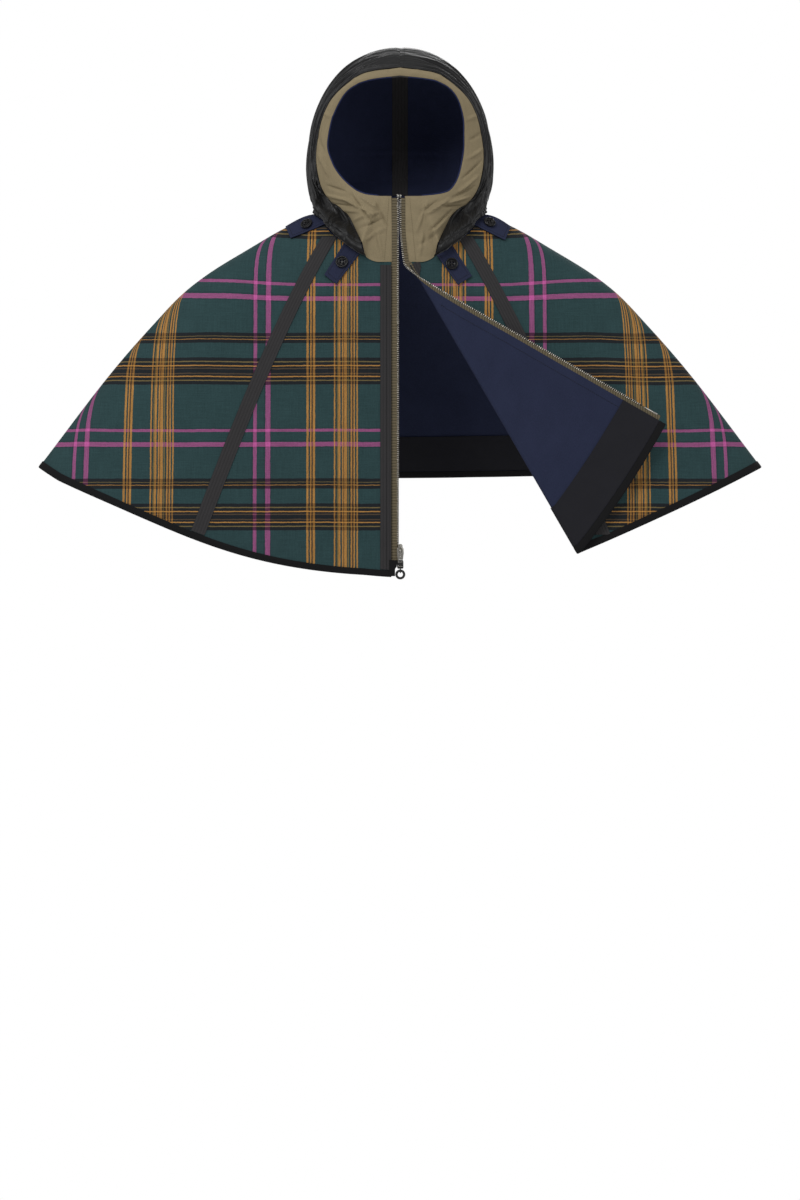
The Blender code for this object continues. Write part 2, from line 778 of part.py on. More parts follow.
def resample(points, steps, first):
    """Points along a polyline, at equal steps of length after a first step of its own."""
    points = np.array(points)
    lengths = np.concatenate(([0], np.cumsum(np.linalg.norm(np.diff(points, axis=0), axis=1))))
    if first is None:
        first = lengths[-1] / steps
    wanted = [0.0] + [mix(first, lengths[-1], k / (steps - 1)) for k in range(steps)]
    return np.array([[np.interp(w, lengths, points[:, axis]) for axis in range(3)] for w in wanted])


def rib(station, steps, cheek_foot):
    """One rib of the hood's left half, from the crown to a foot at the neck."""
    value = {name: rib_values[name](station) for name in RIB_COLUMNS}
    crown = np.array((0, -value["crown_depth"], value["crown_z"])) * MM
    wide = np.array((value["half_width"], -value["wide_depth"], value["wide_z"])) * MM
    first = np.arcsin(min(HOOD_TAPE_REACH / wide[0], 0.5) ** (RIB_FULLNESS / 2))
    turns = [0.0] + [mix(first, pi / 2, k / (steps - 1)) for k in range(steps)]
    points = []
    for turn in turns:
        across = sin(turn) ** (2 / RIB_FULLNESS)
        upright = max(cos(turn), 0.0) ** (2 / RIB_FULLNESS)
        depth = mix(crown[1], wide[1], 1 - cos(turn))
        points.append((wide[0] * across, depth, mix(wide[2], crown[2], upright)))
    for k in range(1, CHEEK_STEPS + 1):
        share = k / CHEEK_STEPS
        points.append((mix(wide[0], cheek_foot[0], share * share), mix(wide[1], cheek_foot[1], share),
                       mix(wide[2], cheek_foot[2], share)))
    return np.array(points)


front_edge = [outer_edge_point(row) for row in KHAKI_STATIONS] + [neck_roll_top(NECK_ROLL_FRONT)]
front_rib = np.concatenate((resample(front_edge[:KHAKI_WIDEST + 1], CROWN_STEPS, HOOD_TAPE_REACH),
                            resample(front_edge[KHAKI_WIDEST:], CHEEK_STEPS, None)[1:]))
face_edge = [inner_edge_point(row) for row in KHAKI_STATIONS]
face_edge.append(np.array((KHAKI_CORNER[0] * MM, -KHAKI_CORNER[1] * MM, THROAT_TOP)))
face_rib = np.concatenate((resample(face_edge[:KHAKI_WIDEST + 1], CROWN_STEPS, HOOD_TAPE_REACH),
                           resample(face_edge[KHAKI_WIDEST:], CHEEK_STEPS, None)[1:]))


def hood_grid(first_rib, foot_of):
    """Rows run from the crown to the neck and columns from the face to the nape."""
    ribs = []
    for station in RIB_STATIONS:
        foot = foot_of(neck_angle(station))
        if station < 1:
            next_rib = rib(1, CROWN_STEPS, foot_of(neck_angle(1)))
            made = mix(first_rib, next_rib, ease(station) * 0.5 + station * 0.5)
            if station > 0:
                made[-1] = foot
        else:
            made = rib(station, CROWN_STEPS, foot)
        ribs.append(made)
    return np.array(ribs).transpose(1, 0, 2)


def halves(name, grid, wall_size, offset, material):
    """The left half of a hood piece and its mirror image, with a seam between them."""
    normals = grid_normals(grid)
    normals[0, :, 0] = 0
    normals[:, -1, 0] = 0
    normals /= np.linalg.norm(normals, axis=2, keepdims=True)
    left = grid.copy()
    left[..., 0] += SEAM_GAP / 2
    wall(name + "_left", left, normals, offset - wall_size / 2, offset + wall_size / 2, material)
    flip = np.array((-1, 1, 1))
    wall(name + "_right", (left * flip)[:, ::-1], (normals * flip)[:, ::-1],
         offset - wall_size / 2, offset + wall_size / 2, material)
    return normals


shell = hood_grid(front_rib, neck_roll_top)
EDGE_CLEARANCE = 2.2 * MM
edge_step = shell[:, 1] - shell[:, 0]
shell[:, 0] += edge_step * EDGE_CLEARANCE / np.linalg.norm(edge_step, axis=1, keepdims=True)
shell_normals = halves("hood_shell", shell, NYLON_WALL, 0, "black_nylon")


def lining_foot(angle):
    return body_point(angle, neck_edge(angle) + LINING_LIFT)


lining = (shell - shell_normals * LINING_INSET)[:, 1:]
lining[..., 0] = np.maximum(lining[..., 0], shell[:, 1:, 0] * 0.3)
for j, station in enumerate(RIB_STATIONS[1:]):
    foot = lining_foot(neck_angle(station))
    pull_in = foot - lining[-1, j]
    for k in range(1, CHEEK_STEPS + 1):
        lining[-1 - CHEEK_STEPS + k, j] += pull_in * (k / CHEEK_STEPS) ** 2
behind_face = face_rib + np.array((0, LINING_BEHIND_FACE, 0))
behind_edge = front_rib * np.array((LINING_NARROWING, 1, 1)) + np.array((0, LINING_BEHIND_EDGE, 0))
behind_edge[0, 2] -= LINING_BEHIND_FACE
lining = np.concatenate((behind_face[:, None], behind_edge[:, None], lining), axis=1)
lining_normals = halves("hood_lining", lining, LINING_WALL, 0, "navy_wool")
flip = np.array((-1, 1, 1))
tape_grid = np.array([lining[1] * flip, lining[0], lining[1]])
tape_normals = np.array([lining_normals[1] * flip, lining_normals[0], lining_normals[1]])
tape_low = LINING_WALL / 2 + SEAM_GAP
wall("hood_tape", tape_grid, tape_normals, -tape_low - TRIM_WALL, -tape_low, "grey_tape")


# Khaki facing in one piece, from the right throat over the crown to the left throat
def khaki_edges(side):
    """Outer and inner edge points of one half, from the crown to the centre front."""
    pairs = []
    for outer, inner in zip(front_rib, face_rib):
        pairs.append((outer + unit(inner - outer) * KHAKI_SEAM_BACK, inner))
    for row in THROAT_STATIONS:
        station = dict(zip(THROAT_STATION_COLUMNS, row))
        inner = np.array((station["inner_x"] * MM, -station["inner_depth"] * MM, THROAT_TOP))
        outer_x = station["outer_x"] * MM
        outer = front_point(outer_x, neck_height(outer_x) + THROAT_GAP)
        pairs.append((outer, inner))
    edge = left_teeth_x(THROAT_TOP) + ZIP_WIDTH if side > 0 else FRONT_EDGE
    foot = left_teeth_x(NECK_FRONT) + ZIP_WIDTH if side > 0 else FRONT_EDGE
    centre_foot = front_point(foot, neck_height(foot) + THROAT_GAP)
    pairs.append((centre_foot, np.array((edge, -THROAT_DEPTH, THROAT_TOP))))
    return [(outer * (side, 1, 1), inner * (side, 1, 1)) for outer, inner in pairs]


KHAKI_ROWS = 4
khaki_columns = khaki_edges(-1)[:0:-1] + khaki_edges(1)
khaki_grid = np.array([[mix(outer, inner, k / (KHAKI_ROWS - 1)) for outer, inner in khaki_columns]
                       for k in range(KHAKI_ROWS)])
khaki_normals = grid_normals(khaki_grid)
for j in range(khaki_grid.shape[1]):
    from_edge = min(j, khaki_grid.shape[1] - 1 - j)
    puff = KHAKI_PUFF * min(from_edge / 3, 1)
    for k in (1, 2):
        khaki_grid[k, j] += khaki_normals[k, j] * puff
for k in range(KHAKI_ROWS):
    height = khaki_grid[k, -1, 2]
    khaki_grid[k, -1, 0] = left_teeth_x(height) + ZIP_WIDTH + 2 * SEAM_GAP
    khaki_grid[k, -1, 1] = -throat_depth(height)
    khaki_grid[k, 0, 1] = -throat_depth(khaki_grid[k, 0, 2])
wall("hood_facing", khaki_grid, grid_normals(khaki_grid), -KHAKI_WALL / 2, KHAKI_WALL / 2, "khaki_cotton")


# Button tabs and buttons
TAB_STEPS = 5
TAB_ACROSS = 3
LATHE_SEGMENTS = 16


def lathe(name, profile, place, out, material):
    """A turned solid on an axis that points out of the cloth."""
    side = unit(np.cross(out, (0, 0, 1)))
    up = np.cross(side, out)
    segments = LATHE_SEGMENTS
    vertices = [place + out * profile[0][1]]
    for radius, height in profile[1:-1]:
        for k in range(segments):
            around = 2 * pi * k / segments
            vertices.append(place + out * height + (side * cos(around) + up * sin(around)) * radius)
    vertices.append(place + out * profile[-1][1])
    rings = len(profile) - 2
    faces = []
    for k in range(segments):
        after = (k + 1) % segments
        faces.append((0, 1 + after, 1 + k))
        for ring in range(rings - 1):
            low = 1 + ring * segments
            high = low + segments
            faces.append((low + k, low + after, high + after, high + k))
        top = 1 + (rings - 1) * segments
        faces.append((top + k, top + after, len(vertices) - 1))
    face_out(solid(name, vertices, faces, material))


BUTTON_PROFILE = ((0, 0), (8.5, 0), (10, 1.2), (10, 2.6), (9, 3.6), (7.6, 3.4), (6.6, 2.6), (0, 2.6))
TAB_LOW = TRIM_LOW + 0.8 * MM
for row in TABS:
    tab = dict(zip(TAB_COLUMNS, row))
    corners = {key: np.array(tab[key]) * MM for key in ("root_a", "root_b", "tip_a", "tip_b")}
    grid = []
    normals = []
    for i in range(TAB_STEPS + 1):
        share = i / TAB_STEPS
        start = mix(corners["root_a"], corners["tip_a"], share)
        end = mix(corners["root_b"], corners["tip_b"], share)
        places = [mix(start, end, k / TAB_ACROSS) for k in range(TAB_ACROSS + 1)]
        grid.append([front_point(x, z) for x, z in places])
        normals.append([body_normal(angle_at(np.clip(x / half_width(z), -0.985, 0.985) * half_width(z), z), z)
                        for x, z in places])
    wall("tab_" + tab["name"], np.array(grid), np.array(normals), TAB_LOW, TAB_LOW + TAB_WALL, "navy_wool")
    x, z = np.array(tab["button"]) * MM
    out = body_normal(angle_at(x, z), z)
    seat = front_point(x, z) + out * (TAB_LOW + TAB_WALL + 2 * SEAM_GAP)
    profile = [(radius * MM, height * MM) for radius, height in BUTTON_PROFILE]
    lathe("button_" + tab["name"], profile, seat, out, "button_horn")


# Zip hardware: upper slider with its pull tab turned up, lower slider with a ring pull
zip_face = -front_depth(SLIDER_TOP - SLIDER_HEIGHT)
slider_front = zip_face - SLIDER_HALF_DEPTH
slider_back = zip_face + SLIDER_HALF_DEPTH
slider_foot = SLIDER_TOP - SLIDER_HEIGHT
half = SLIDER_HALF_WIDTH
SHOULDER = 2.2 * MM
WAIST = 1.2 * MM
slider_outline = [
    (SLIDER_X - half + SHOULDER, SLIDER_TOP),
    (SLIDER_X + half - SHOULDER, SLIDER_TOP),
    (SLIDER_X + half, SLIDER_TOP - SHOULDER),
    (SLIDER_X + half, SLIDER_TOP - SLIDER_HEIGHT * 0.45),
    (SLIDER_X + half - WAIST, slider_foot),
    (SLIDER_X - half + WAIST, slider_foot),
    (SLIDER_X - half, SLIDER_TOP - SLIDER_HEIGHT * 0.45),
    (SLIDER_X - half, SLIDER_TOP - SHOULDER),
]
slider = plate("zip_slider", slider_outline, "XZ", (slider_front, slider_back), "zip_metal")
BRIDGE_HALF_WIDTH = 1.2 * MM
BRIDGE_HALF_LENGTH = 6.0 * MM
BRIDGE_GAP = 3.0 * MM
BRIDGE_WALL = 1.4 * MM
BRIDGE_SINK = 1.0 * MM
pull_axis_z = SLIDER_TOP - SLIDER_HEIGHT * 0.5
pull_axis_y = slider_front - BRIDGE_GAP / 2
bridge_top = slider_front - BRIDGE_GAP - BRIDGE_WALL
bridge_outline = [
    (slider_front + BRIDGE_SINK, pull_axis_z + BRIDGE_HALF_LENGTH),
    (bridge_top, pull_axis_z + BRIDGE_HALF_LENGTH),
    (bridge_top, pull_axis_z - BRIDGE_HALF_LENGTH),
    (slider_front + BRIDGE_SINK, pull_axis_z - BRIDGE_HALF_LENGTH),
    (slider_front + BRIDGE_SINK, pull_axis_z - BRIDGE_HALF_LENGTH + BRIDGE_WALL),
    (slider_front - BRIDGE_GAP, pull_axis_z - BRIDGE_HALF_LENGTH + BRIDGE_WALL),
    (slider_front - BRIDGE_GAP, pull_axis_z + BRIDGE_HALF_LENGTH - BRIDGE_WALL),
    (slider_front + BRIDGE_SINK, pull_axis_z + BRIDGE_HALF_LENGTH - BRIDGE_WALL),
]
bridge_place = (SLIDER_X - BRIDGE_HALF_WIDTH, SLIDER_X + BRIDGE_HALF_WIDTH)
combine(slider, plate("bridge", bridge_outline, "YZ", bridge_place, "zip_metal"), "UNION")

PULL_HALF_WIDTH = 3.6 * MM
PULL_EYE_HALF_WIDTH = 1.9 * MM
PULL_LENGTH = 15 * MM
PULL_EYE_LENGTH = 8.5 * MM
PULL_CORNER = 2 * MM
PULL_HALF_WALL = 0.8 * MM
pull_outline = [
    (SLIDER_X - PULL_HALF_WIDTH, pull_axis_z - PULL_HALF_WALL),
    (SLIDER_X + PULL_HALF_WIDTH, pull_axis_z - PULL_HALF_WALL),
    (SLIDER_X + PULL_HALF_WIDTH, pull_axis_z + PULL_LENGTH - PULL_CORNER),
    (SLIDER_X + PULL_HALF_WIDTH - PULL_CORNER, pull_axis_z + PULL_LENGTH),
    (SLIDER_X - PULL_HALF_WIDTH + PULL_CORNER, pull_axis_z + PULL_LENGTH),
    (SLIDER_X - PULL_HALF_WIDTH, pull_axis_z + PULL_LENGTH - PULL_CORNER),
]
eye_outline = [
    (SLIDER_X - PULL_EYE_HALF_WIDTH, pull_axis_z + PULL_HALF_WALL),
    (SLIDER_X + PULL_EYE_HALF_WIDTH, pull_axis_z + PULL_HALF_WALL),
    (SLIDER_X + PULL_EYE_HALF_WIDTH, pull_axis_z + PULL_EYE_LENGTH),
    (SLIDER_X - PULL_EYE_HALF_WIDTH, pull_axis_z + PULL_EYE_LENGTH),
]
pull_place = (pull_axis_y - PULL_HALF_WALL, pull_axis_y + PULL_HALF_WALL)
pull = plate("zip_pull", pull_outline, "XZ", pull_place, "zip_metal")
eye_place = (pull_axis_y - 4 * PULL_HALF_WALL, pull_axis_y + 4 * PULL_HALF_WALL)
combine(pull, plate("eye", eye_outline, "XZ", eye_place, "zip_metal"), "DIFFERENCE")
set_origin(pull, (SLIDER_X, pull_axis_y, pull_axis_z))

lower_top = slider_foot - SEAM_GAP
lower_foot = lower_top - LOWER_HEIGHT
LOWER_HALF_WIDTH = 5.0 * MM
LOWER_HALF_DEPTH = 3.2 * MM
lower_outline = [
    (SLIDER_X - LOWER_HALF_WIDTH + WAIST, lower_top),
    (SLIDER_X + LOWER_HALF_WIDTH - WAIST, lower_top),
    (SLIDER_X + LOWER_HALF_WIDTH, lower_top - 2 * WAIST),
    (SLIDER_X + LOWER_HALF_WIDTH, lower_foot + WAIST),
    (SLIDER_X + LOWER_HALF_WIDTH - WAIST, lower_foot),
    (SLIDER_X - LOWER_HALF_WIDTH + WAIST, lower_foot),
    (SLIDER_X - LOWER_HALF_WIDTH, lower_foot + WAIST),
    (SLIDER_X - LOWER_HALF_WIDTH, lower_top - 2 * WAIST),
]
lower_place = (zip_face - LOWER_HALF_DEPTH, zip_face + LOWER_HALF_DEPTH)
lower = plate("zip_lower_slider", lower_outline, "XZ", lower_place, "black_metal")

EYELET_RADIUS = 4.0 * MM
EYELET_HOLE = 2.4 * MM
EYELET_HALF_WALL = 1.0 * MM
ring_axis_z = lower_foot - EYELET_RADIUS + 1.0 * MM


def circle(radius, centre, segments):
    return [(centre[0] + radius * cos(2 * pi * k / segments), centre[1] + radius * sin(2 * pi * k / segments))
            for k in range(segments)]


eyelet_place = (SLIDER_X - EYELET_HALF_WALL, SLIDER_X + EYELET_HALF_WALL)
eyelet = plate("eyelet", circle(EYELET_RADIUS, (zip_face, ring_axis_z), 16), "YZ", eyelet_place, "black_metal")
hole_place = (SLIDER_X - 3 * EYELET_HALF_WALL, SLIDER_X + 3 * EYELET_HALF_WALL)
hole = plate("hole", circle(EYELET_HOLE, (zip_face, ring_axis_z), 16), "YZ", hole_place, "black_metal")
combine(lower, eyelet, "UNION")
combine(lower, hole, "DIFFERENCE")

ring_middle = (RING_RADIUS + RING_HOLE) / 2
ring_centre = (SLIDER_X, ring_axis_z - ring_middle)
ring_place = (zip_face - RING_WALL / 2, zip_face + RING_WALL / 2)
ring = plate("zip_ring", circle(RING_RADIUS, ring_centre, 20), "XZ", ring_place, "black_metal")
bore_place = (zip_face - 2 * RING_WALL, zip_face + 2 * RING_WALL)
combine(ring, plate("bore", circle(RING_HOLE, ring_centre, 20), "XZ", bore_place, "black_metal"), "DIFFERENCE")
set_origin(ring, (SLIDER_X, zip_face, ring_axis_z))
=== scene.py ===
"""Looks of a hooded cape with a two-way front zip, filled out as if worn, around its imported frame.

Metres, +Z up. The front faces -Y and the wearer's right is at -X. Angles run round the neck in degrees: 0 at
the centre front, 90 at the wearer's left side and 180 at the centre back. A cloth grid's rows run down and
its columns run from left to right as seen from outside, so a row step crossed with a column step points out.
"""
from math import pi

import bmesh
import bpy
import numpy as np
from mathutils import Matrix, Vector


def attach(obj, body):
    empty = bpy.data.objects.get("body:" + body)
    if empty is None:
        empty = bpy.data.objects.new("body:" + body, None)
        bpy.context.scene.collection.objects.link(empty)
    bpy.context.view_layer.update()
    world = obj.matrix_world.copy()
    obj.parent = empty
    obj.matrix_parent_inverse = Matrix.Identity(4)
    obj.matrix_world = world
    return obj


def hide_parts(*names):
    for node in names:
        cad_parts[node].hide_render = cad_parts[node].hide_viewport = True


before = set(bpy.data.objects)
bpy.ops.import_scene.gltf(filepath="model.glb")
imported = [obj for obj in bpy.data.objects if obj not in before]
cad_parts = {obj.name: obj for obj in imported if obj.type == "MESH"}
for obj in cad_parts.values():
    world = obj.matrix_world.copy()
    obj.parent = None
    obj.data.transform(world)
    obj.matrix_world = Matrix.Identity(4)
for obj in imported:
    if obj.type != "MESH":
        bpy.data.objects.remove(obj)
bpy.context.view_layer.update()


# Studio. A straight front view on white: the camera stands level and far off with a long lens, and its
# centre lies under the cape, so that the cape fills the upper half of the picture. The floor is a pale disc
# far below.
MM = 0.001
PIXEL = 1.6 * MM
PICTURE_HEIGHT = 1200 * PIXEL
PICTURE_CENTRE_Z = -616 * MM
CAMERA_DISTANCE = 30.0
SENSOR = 36.0
LIGHT_COLUMNS = ("name", "place", "aim", "size", "power")
LIGHTS = (
    ("key_panel", (-2.6, -4.4, 3.8), (0, 0, -0.2), 2.6, 190),
    ("fill_panel", (3.2, -5.2, 1.6), (0, 0, -0.2), 3.2, 62),
    ("top_panel", (0.0, -0.6, 3.2), (0, 0, 0.1), 2.2, 20),
    ("right_side_panel", (-3.2, 0.2, 0.8), (0, 0, 0), 1.8, 22),
    ("left_side_panel", (3.2, 0.2, 0.8), (0, 0, 0), 1.8, 22),
    ("back_panel_light", (0.5, 4.8, 1.5), (0, 0, -0.2), 3.0, 95),
)
ROOM_LIGHT = 0.36
FLOOR_Z = -1.95
FLOOR_RADIUS = 3.0

scene = bpy.context.scene
scene.view_settings.view_transform = "Standard"
camera_data = bpy.data.cameras.new("camera")
camera_data.sensor_width = SENSOR
camera_data.lens = SENSOR * CAMERA_DISTANCE / PICTURE_HEIGHT
camera = bpy.data.objects.new("camera", camera_data)
camera.location = (0, -CAMERA_DISTANCE, PICTURE_CENTRE_Z)
camera.rotation_euler = (pi / 2, 0, 0)
scene.collection.objects.link(camera)
scene.camera = camera

for row in LIGHTS:
    lamp = dict(zip(LIGHT_COLUMNS, row))
    light = bpy.data.lights.new(lamp["name"], "AREA")
    light.size = lamp["size"]
    light.energy = lamp["power"]
    panel = bpy.data.objects.new(lamp["name"], light)
    panel.location = lamp["place"]
    aim = Vector(lamp["aim"]) - Vector(lamp["place"])
    panel.rotation_euler = aim.to_track_quat("-Z", "Y").to_euler()
    scene.collection.objects.link(panel)


def set_inputs(tree, node, values):
    """Sets a node's inputs to values, or links them to other nodes' outputs."""
    for key, value in dict(values).items():
        if isinstance(value, bpy.types.NodeSocket):
            tree.links.new(value, node.inputs[key])
        else:
            node.inputs[key].default_value = value


def add_node(tree, kind, values=(), **settings):
    """A node with its settings and its inputs."""
    made = tree.nodes.new(kind)
    for key, value in settings.items():
        setattr(made, key, value)
    set_inputs(tree, made, values)
    return made


world = bpy.data.worlds.new("white_room")
world.use_nodes = True
scene.world = world
room = world.node_tree
room.nodes.clear()
path = add_node(room, "ShaderNodeLightPath")
room_light = add_node(room, "ShaderNodeBackground", {"Color": (1, 1, 1, 1), "Strength": ROOM_LIGHT})
seen_white = add_node(room, "ShaderNodeBackground", {"Color": (1, 1, 1, 1), "Strength": 1.0})
chosen = add_node(room, "ShaderNodeMixShader", {
    0: path.outputs["Is Camera Ray"], 1: room_light.outputs[0], 2: seen_white.outputs[0]})
add_node(room, "ShaderNodeOutputWorld", {"Surface": chosen.outputs[0]})


def link_mesh(name, mesh, *materials):
    obj = bpy.data.objects.new(name, mesh)
    scene.collection.objects.link(obj)
    for material in materials:
        mesh.materials.append(material)
    return obj


def mesh_of(shape, name):
    """A mesh with a finished shape."""
    mesh = bpy.data.meshes.new(name)
    shape.to_mesh(mesh)
    shape.free()
    return mesh


def math_node(tree, operation, *values):
    return add_node(tree, "ShaderNodeMath", dict(enumerate(values)), operation=operation).outputs[0]


def new_material(name):
    """A material with its tree and its one shader."""
    material = bpy.data.materials.new(name)
    material.use_nodes = True
    tree = material.node_tree
    return material, tree, tree.nodes["Principled BSDF"]


floor_paint, floor_tree, floor_shader = new_material("pale_floor")
floor_grain = add_node(floor_tree, "ShaderNodeTexNoise", {"Scale": 3.0, "Detail": 4.0})
floor_tone = add_node(floor_tree, "ShaderNodeMapRange", {
    "Value": floor_grain.outputs[0], "To Min": 0.86, "To Max": 0.9})
set_inputs(floor_tree, floor_shader, {"Base Color": floor_tone.outputs[0], "Roughness": 0.9})
floor_shape = bmesh.new()
bmesh.ops.create_circle(floor_shape, cap_ends=True, segments=96, radius=FLOOR_RADIUS)
floor = link_mesh("floor", mesh_of(floor_shape, "floor"), floor_paint)
floor.location = (0, 0, FLOOR_Z)


# Body form. The five wool panels share one oval form that widens from the neck to the hem. Soft uneven
# creases, placed on the front and on the back, lift or sink the cloth, and everything sewn to it
# follows them.
BODY_COLUMNS = ("height", "half_width", "front_depth", "back_depth")
BODY_OUTLINE = (
    (45, 74, 68, 70),
    (0, 134, 88, 96),
    (-20, 180, 97, 106),
    (-55, 241, 108, 120),
    (-95, 306, 119, 132),
    (-126, 346, 127, 140),
    (-175, 393, 137, 150),
    (-242, 452, 150, 162),
    (-403, 576, 175, 180),
    (-600, 728, 203, 200),
)
HEM_SIDE = -403 * MM
HEM_RIGHT = (-578 * MM, 1.5)
HEM_RIGHT_WAVE = 5 * MM
HEM_WAVE_START = 0.08
HEM_WAVE_SPAN = 0.84
HEM_LEFT = (-675 * MM, 0.8)
HEM_BACK = (-418 * MM, 1.5)
NECK_FRONT = -82 * MM
NECK_SIDE = 2 * MM
NECK_BACK = 14 * MM
NECK_RISE = 1.1
HOOD_LAP = 14 * MM
CREASE_RUN_OUT = 0.2
CREASE_RISE = 0.5
CREASE_FACING = 0.4
CREASE_COLUMNS = ("start_x", "start_z", "end_x", "end_z", "half_width", "height")
FRONT_CREASES = (
    (-236, -70, -352, -300, 40, 3.2),
    (-196, -120, -268, -430, 34, -2.4),
    (-84, -150, -120, -500, 36, 2.2),
    (-420, -190, -520, -390, 28, 2.6),
    (-322, -330, -410, -450, 24, -2.2),
    (-52, -330, -66, -570, 24, -1.8),
    (-140, -420, -150, -560, 26, 1.8),
    (240, -70, 352, -290, 40, 3.2),
    (330, -170, 470, -390, 34, -2.6),
    (450, -250, 540, -400, 26, 2.4),
    (150, -66, 196, -160, 22, -1.6),
    (330, -440, 420, -470, 26, 1.6),
)
BACK_CREASES = (
    (-196, -30, -300, -410, 48, 5.0),
    (8, -60, 22, -450, 58, 4.5),
    (176, -60, 262, -430, 44, -4.0),
    (-96, -150, -118, -450, 34, -3.0),
    (350, -150, 452, -400, 34, 3.0),
    (-402, -170, -484, -390, 34, -3.4),
    (92, -210, 120, -450, 32, 3.0),
    (-330, -300, -390, -430, 26, 2.4),
)


def smooth_curve(places, values):
    """A smooth curve through a short table that never overshoots it, for one place or for many at once."""
    places = np.array(places, float)
    values = np.array(values, float)
    if places[0] > places[-1]:
        places = places[::-1]
        values = values[::-1]
    wide = (-1,) + (1,) * (values.ndim - 1)
    step = np.diff(places)
    rise = np.diff(values, axis=0) / step.reshape(wide)
    before = (2 * step[1:] + step[:-1]).reshape(wide)
    after = (step[1:] + 2 * step[:-1]).reshape(wide)
    same_way = rise[:-1] * rise[1:] > 0
    first = np.where(same_way, rise[:-1], 1)
    second = np.where(same_way, rise[1:], 1)
    slope = np.concatenate((rise[:1], rise[1:] * 0, rise[-1:]))
    slope[1:-1] = np.where(same_way, (before + after) / (before / first + after / second), 0)

    def value(place):
        place = np.asarray(place, float)
        k = np.clip(np.searchsorted(places, place) - 1, 0, len(step) - 1)
        t = np.clip((place - places[k]) / step[k], 0, 1)
        size = step[k]
        extra = values.ndim - 1
        t = t.reshape(t.shape + (1,) * extra)
        size = size.reshape(size.shape + (1,) * extra)
        soft = t * t * (3 - 2 * t)
        lead = t * (1 - t) * (1 - t) * slope[k] - t * t * (1 - t) * slope[k + 1]
        return values[k] * (1 - soft) + values[k + 1] * soft + lead * size

    return value


def mix(a, b, share):
    return a + (b - a) * share


def unit(vectors):
    return vectors / np.linalg.norm(vectors, axis=-1, keepdims=True)


def ease(share):
    share = np.clip(share, 0, 1)
    return share * share * (3 - 2 * share)


def outline_curve(name):
    place = BODY_COLUMNS.index(name)
    return smooth_curve([row[0] * MM for row in BODY_OUTLINE], [row[place] * MM for row in BODY_OUTLINE])


half_width = outline_curve("half_width")
front_depth = outline_curve("front_depth")
back_depth = outline_curve("back_depth")


def body_point(angle, z):
    turn = np.radians(angle)
    depth = np.where(np.cos(turn) >= 0, front_depth(z), back_depth(z))
    return np.stack((half_width(z) * np.sin(turn), -depth * np.cos(turn), z + 0 * turn), axis=-1)


def body_normal(angle, z):
    round_step = body_point(angle + 0.5, z) - body_point(angle - 0.5, z)
    down_step = body_point(angle, z - MM) - body_point(angle, z + MM)
    return unit(np.cross(down_step, round_step))


def angle_at(x, z):
    return np.degrees(np.arcsin(np.clip(x / half_width(z), -0.985, 0.985)))


def crease_height(rows, x, z):
    """How far soft creases lift the cloth at places of a front or back view."""
    lift = 0 * (x + z)
    for row in rows:
        crease = dict(zip(CREASE_COLUMNS, np.array(row) * MM))
        start = np.array((crease["start_x"], crease["start_z"]))
        run = np.array((crease["end_x"], crease["end_z"])) - start
        along = ((x - start[0]) * run[0] + (z - start[1]) * run[1]) / (run @ run)
        near = np.clip(along, 0, 1)
        apart = np.hypot(x - start[0] - run[0] * near, z - start[1] - run[1] * near)
        ends = ease((along + CREASE_RUN_OUT) / CREASE_RISE)
        ends = ends * ease((1 + CREASE_RUN_OUT - along) / CREASE_RISE)
        lift = lift + crease["height"] * ends * np.exp(-(apart / crease["half_width"]) ** 2)
    return lift


def body_creases(angle, z):
    facing = np.cos(np.radians(angle))
    x = half_width(z) * np.sin(np.radians(angle))
    front = crease_height(FRONT_CREASES, x, z) * ease(facing / CREASE_FACING)
    return front + crease_height(BACK_CREASES, x, z) * ease(-facing / CREASE_FACING)


def on_body(angle, z, lift=0.0):
    """Points on the creased body, at a lift off the middle of its cloth."""
    height = body_creases(angle, z) + lift
    return body_point(angle, z) + body_normal(angle, z) * height[..., None]


def hood_edge(angle):
    """Height at which the hood's edge lies on the body."""
    side = np.abs(np.sin(np.radians(angle)))
    front = NECK_FRONT + (NECK_SIDE - NECK_FRONT) * side ** NECK_RISE
    back = NECK_SIDE + (NECK_BACK - NECK_SIDE) * (1 - side)
    return np.where(np.cos(np.radians(angle)) >= 0, front, back)


def neck_edge(angle):
    side = np.abs(np.sin(np.radians(angle)))
    return hood_edge(angle) + HOOD_LAP * np.where(np.cos(np.radians(angle)) >= 0, side, 1)


def hem_height(angle):
    turn = np.radians(angle)
    side = np.abs(np.sin(turn))
    right = HEM_RIGHT[0] + (HEM_SIDE - HEM_RIGHT[0]) * side ** HEM_RIGHT[1]
    right = right - HEM_RIGHT_WAVE * np.sin(2 * pi * np.clip((side - HEM_WAVE_START) / HEM_WAVE_SPAN, 0, 1))
    left = HEM_LEFT[0] + (HEM_SIDE - HEM_LEFT[0]) * side ** HEM_LEFT[1]
    back = HEM_BACK[0] + (HEM_SIDE - HEM_BACK[0]) * side ** HEM_BACK[1]
    return np.where(np.cos(turn) < 0, back, np.where(np.sin(turn) < 0, right, left))


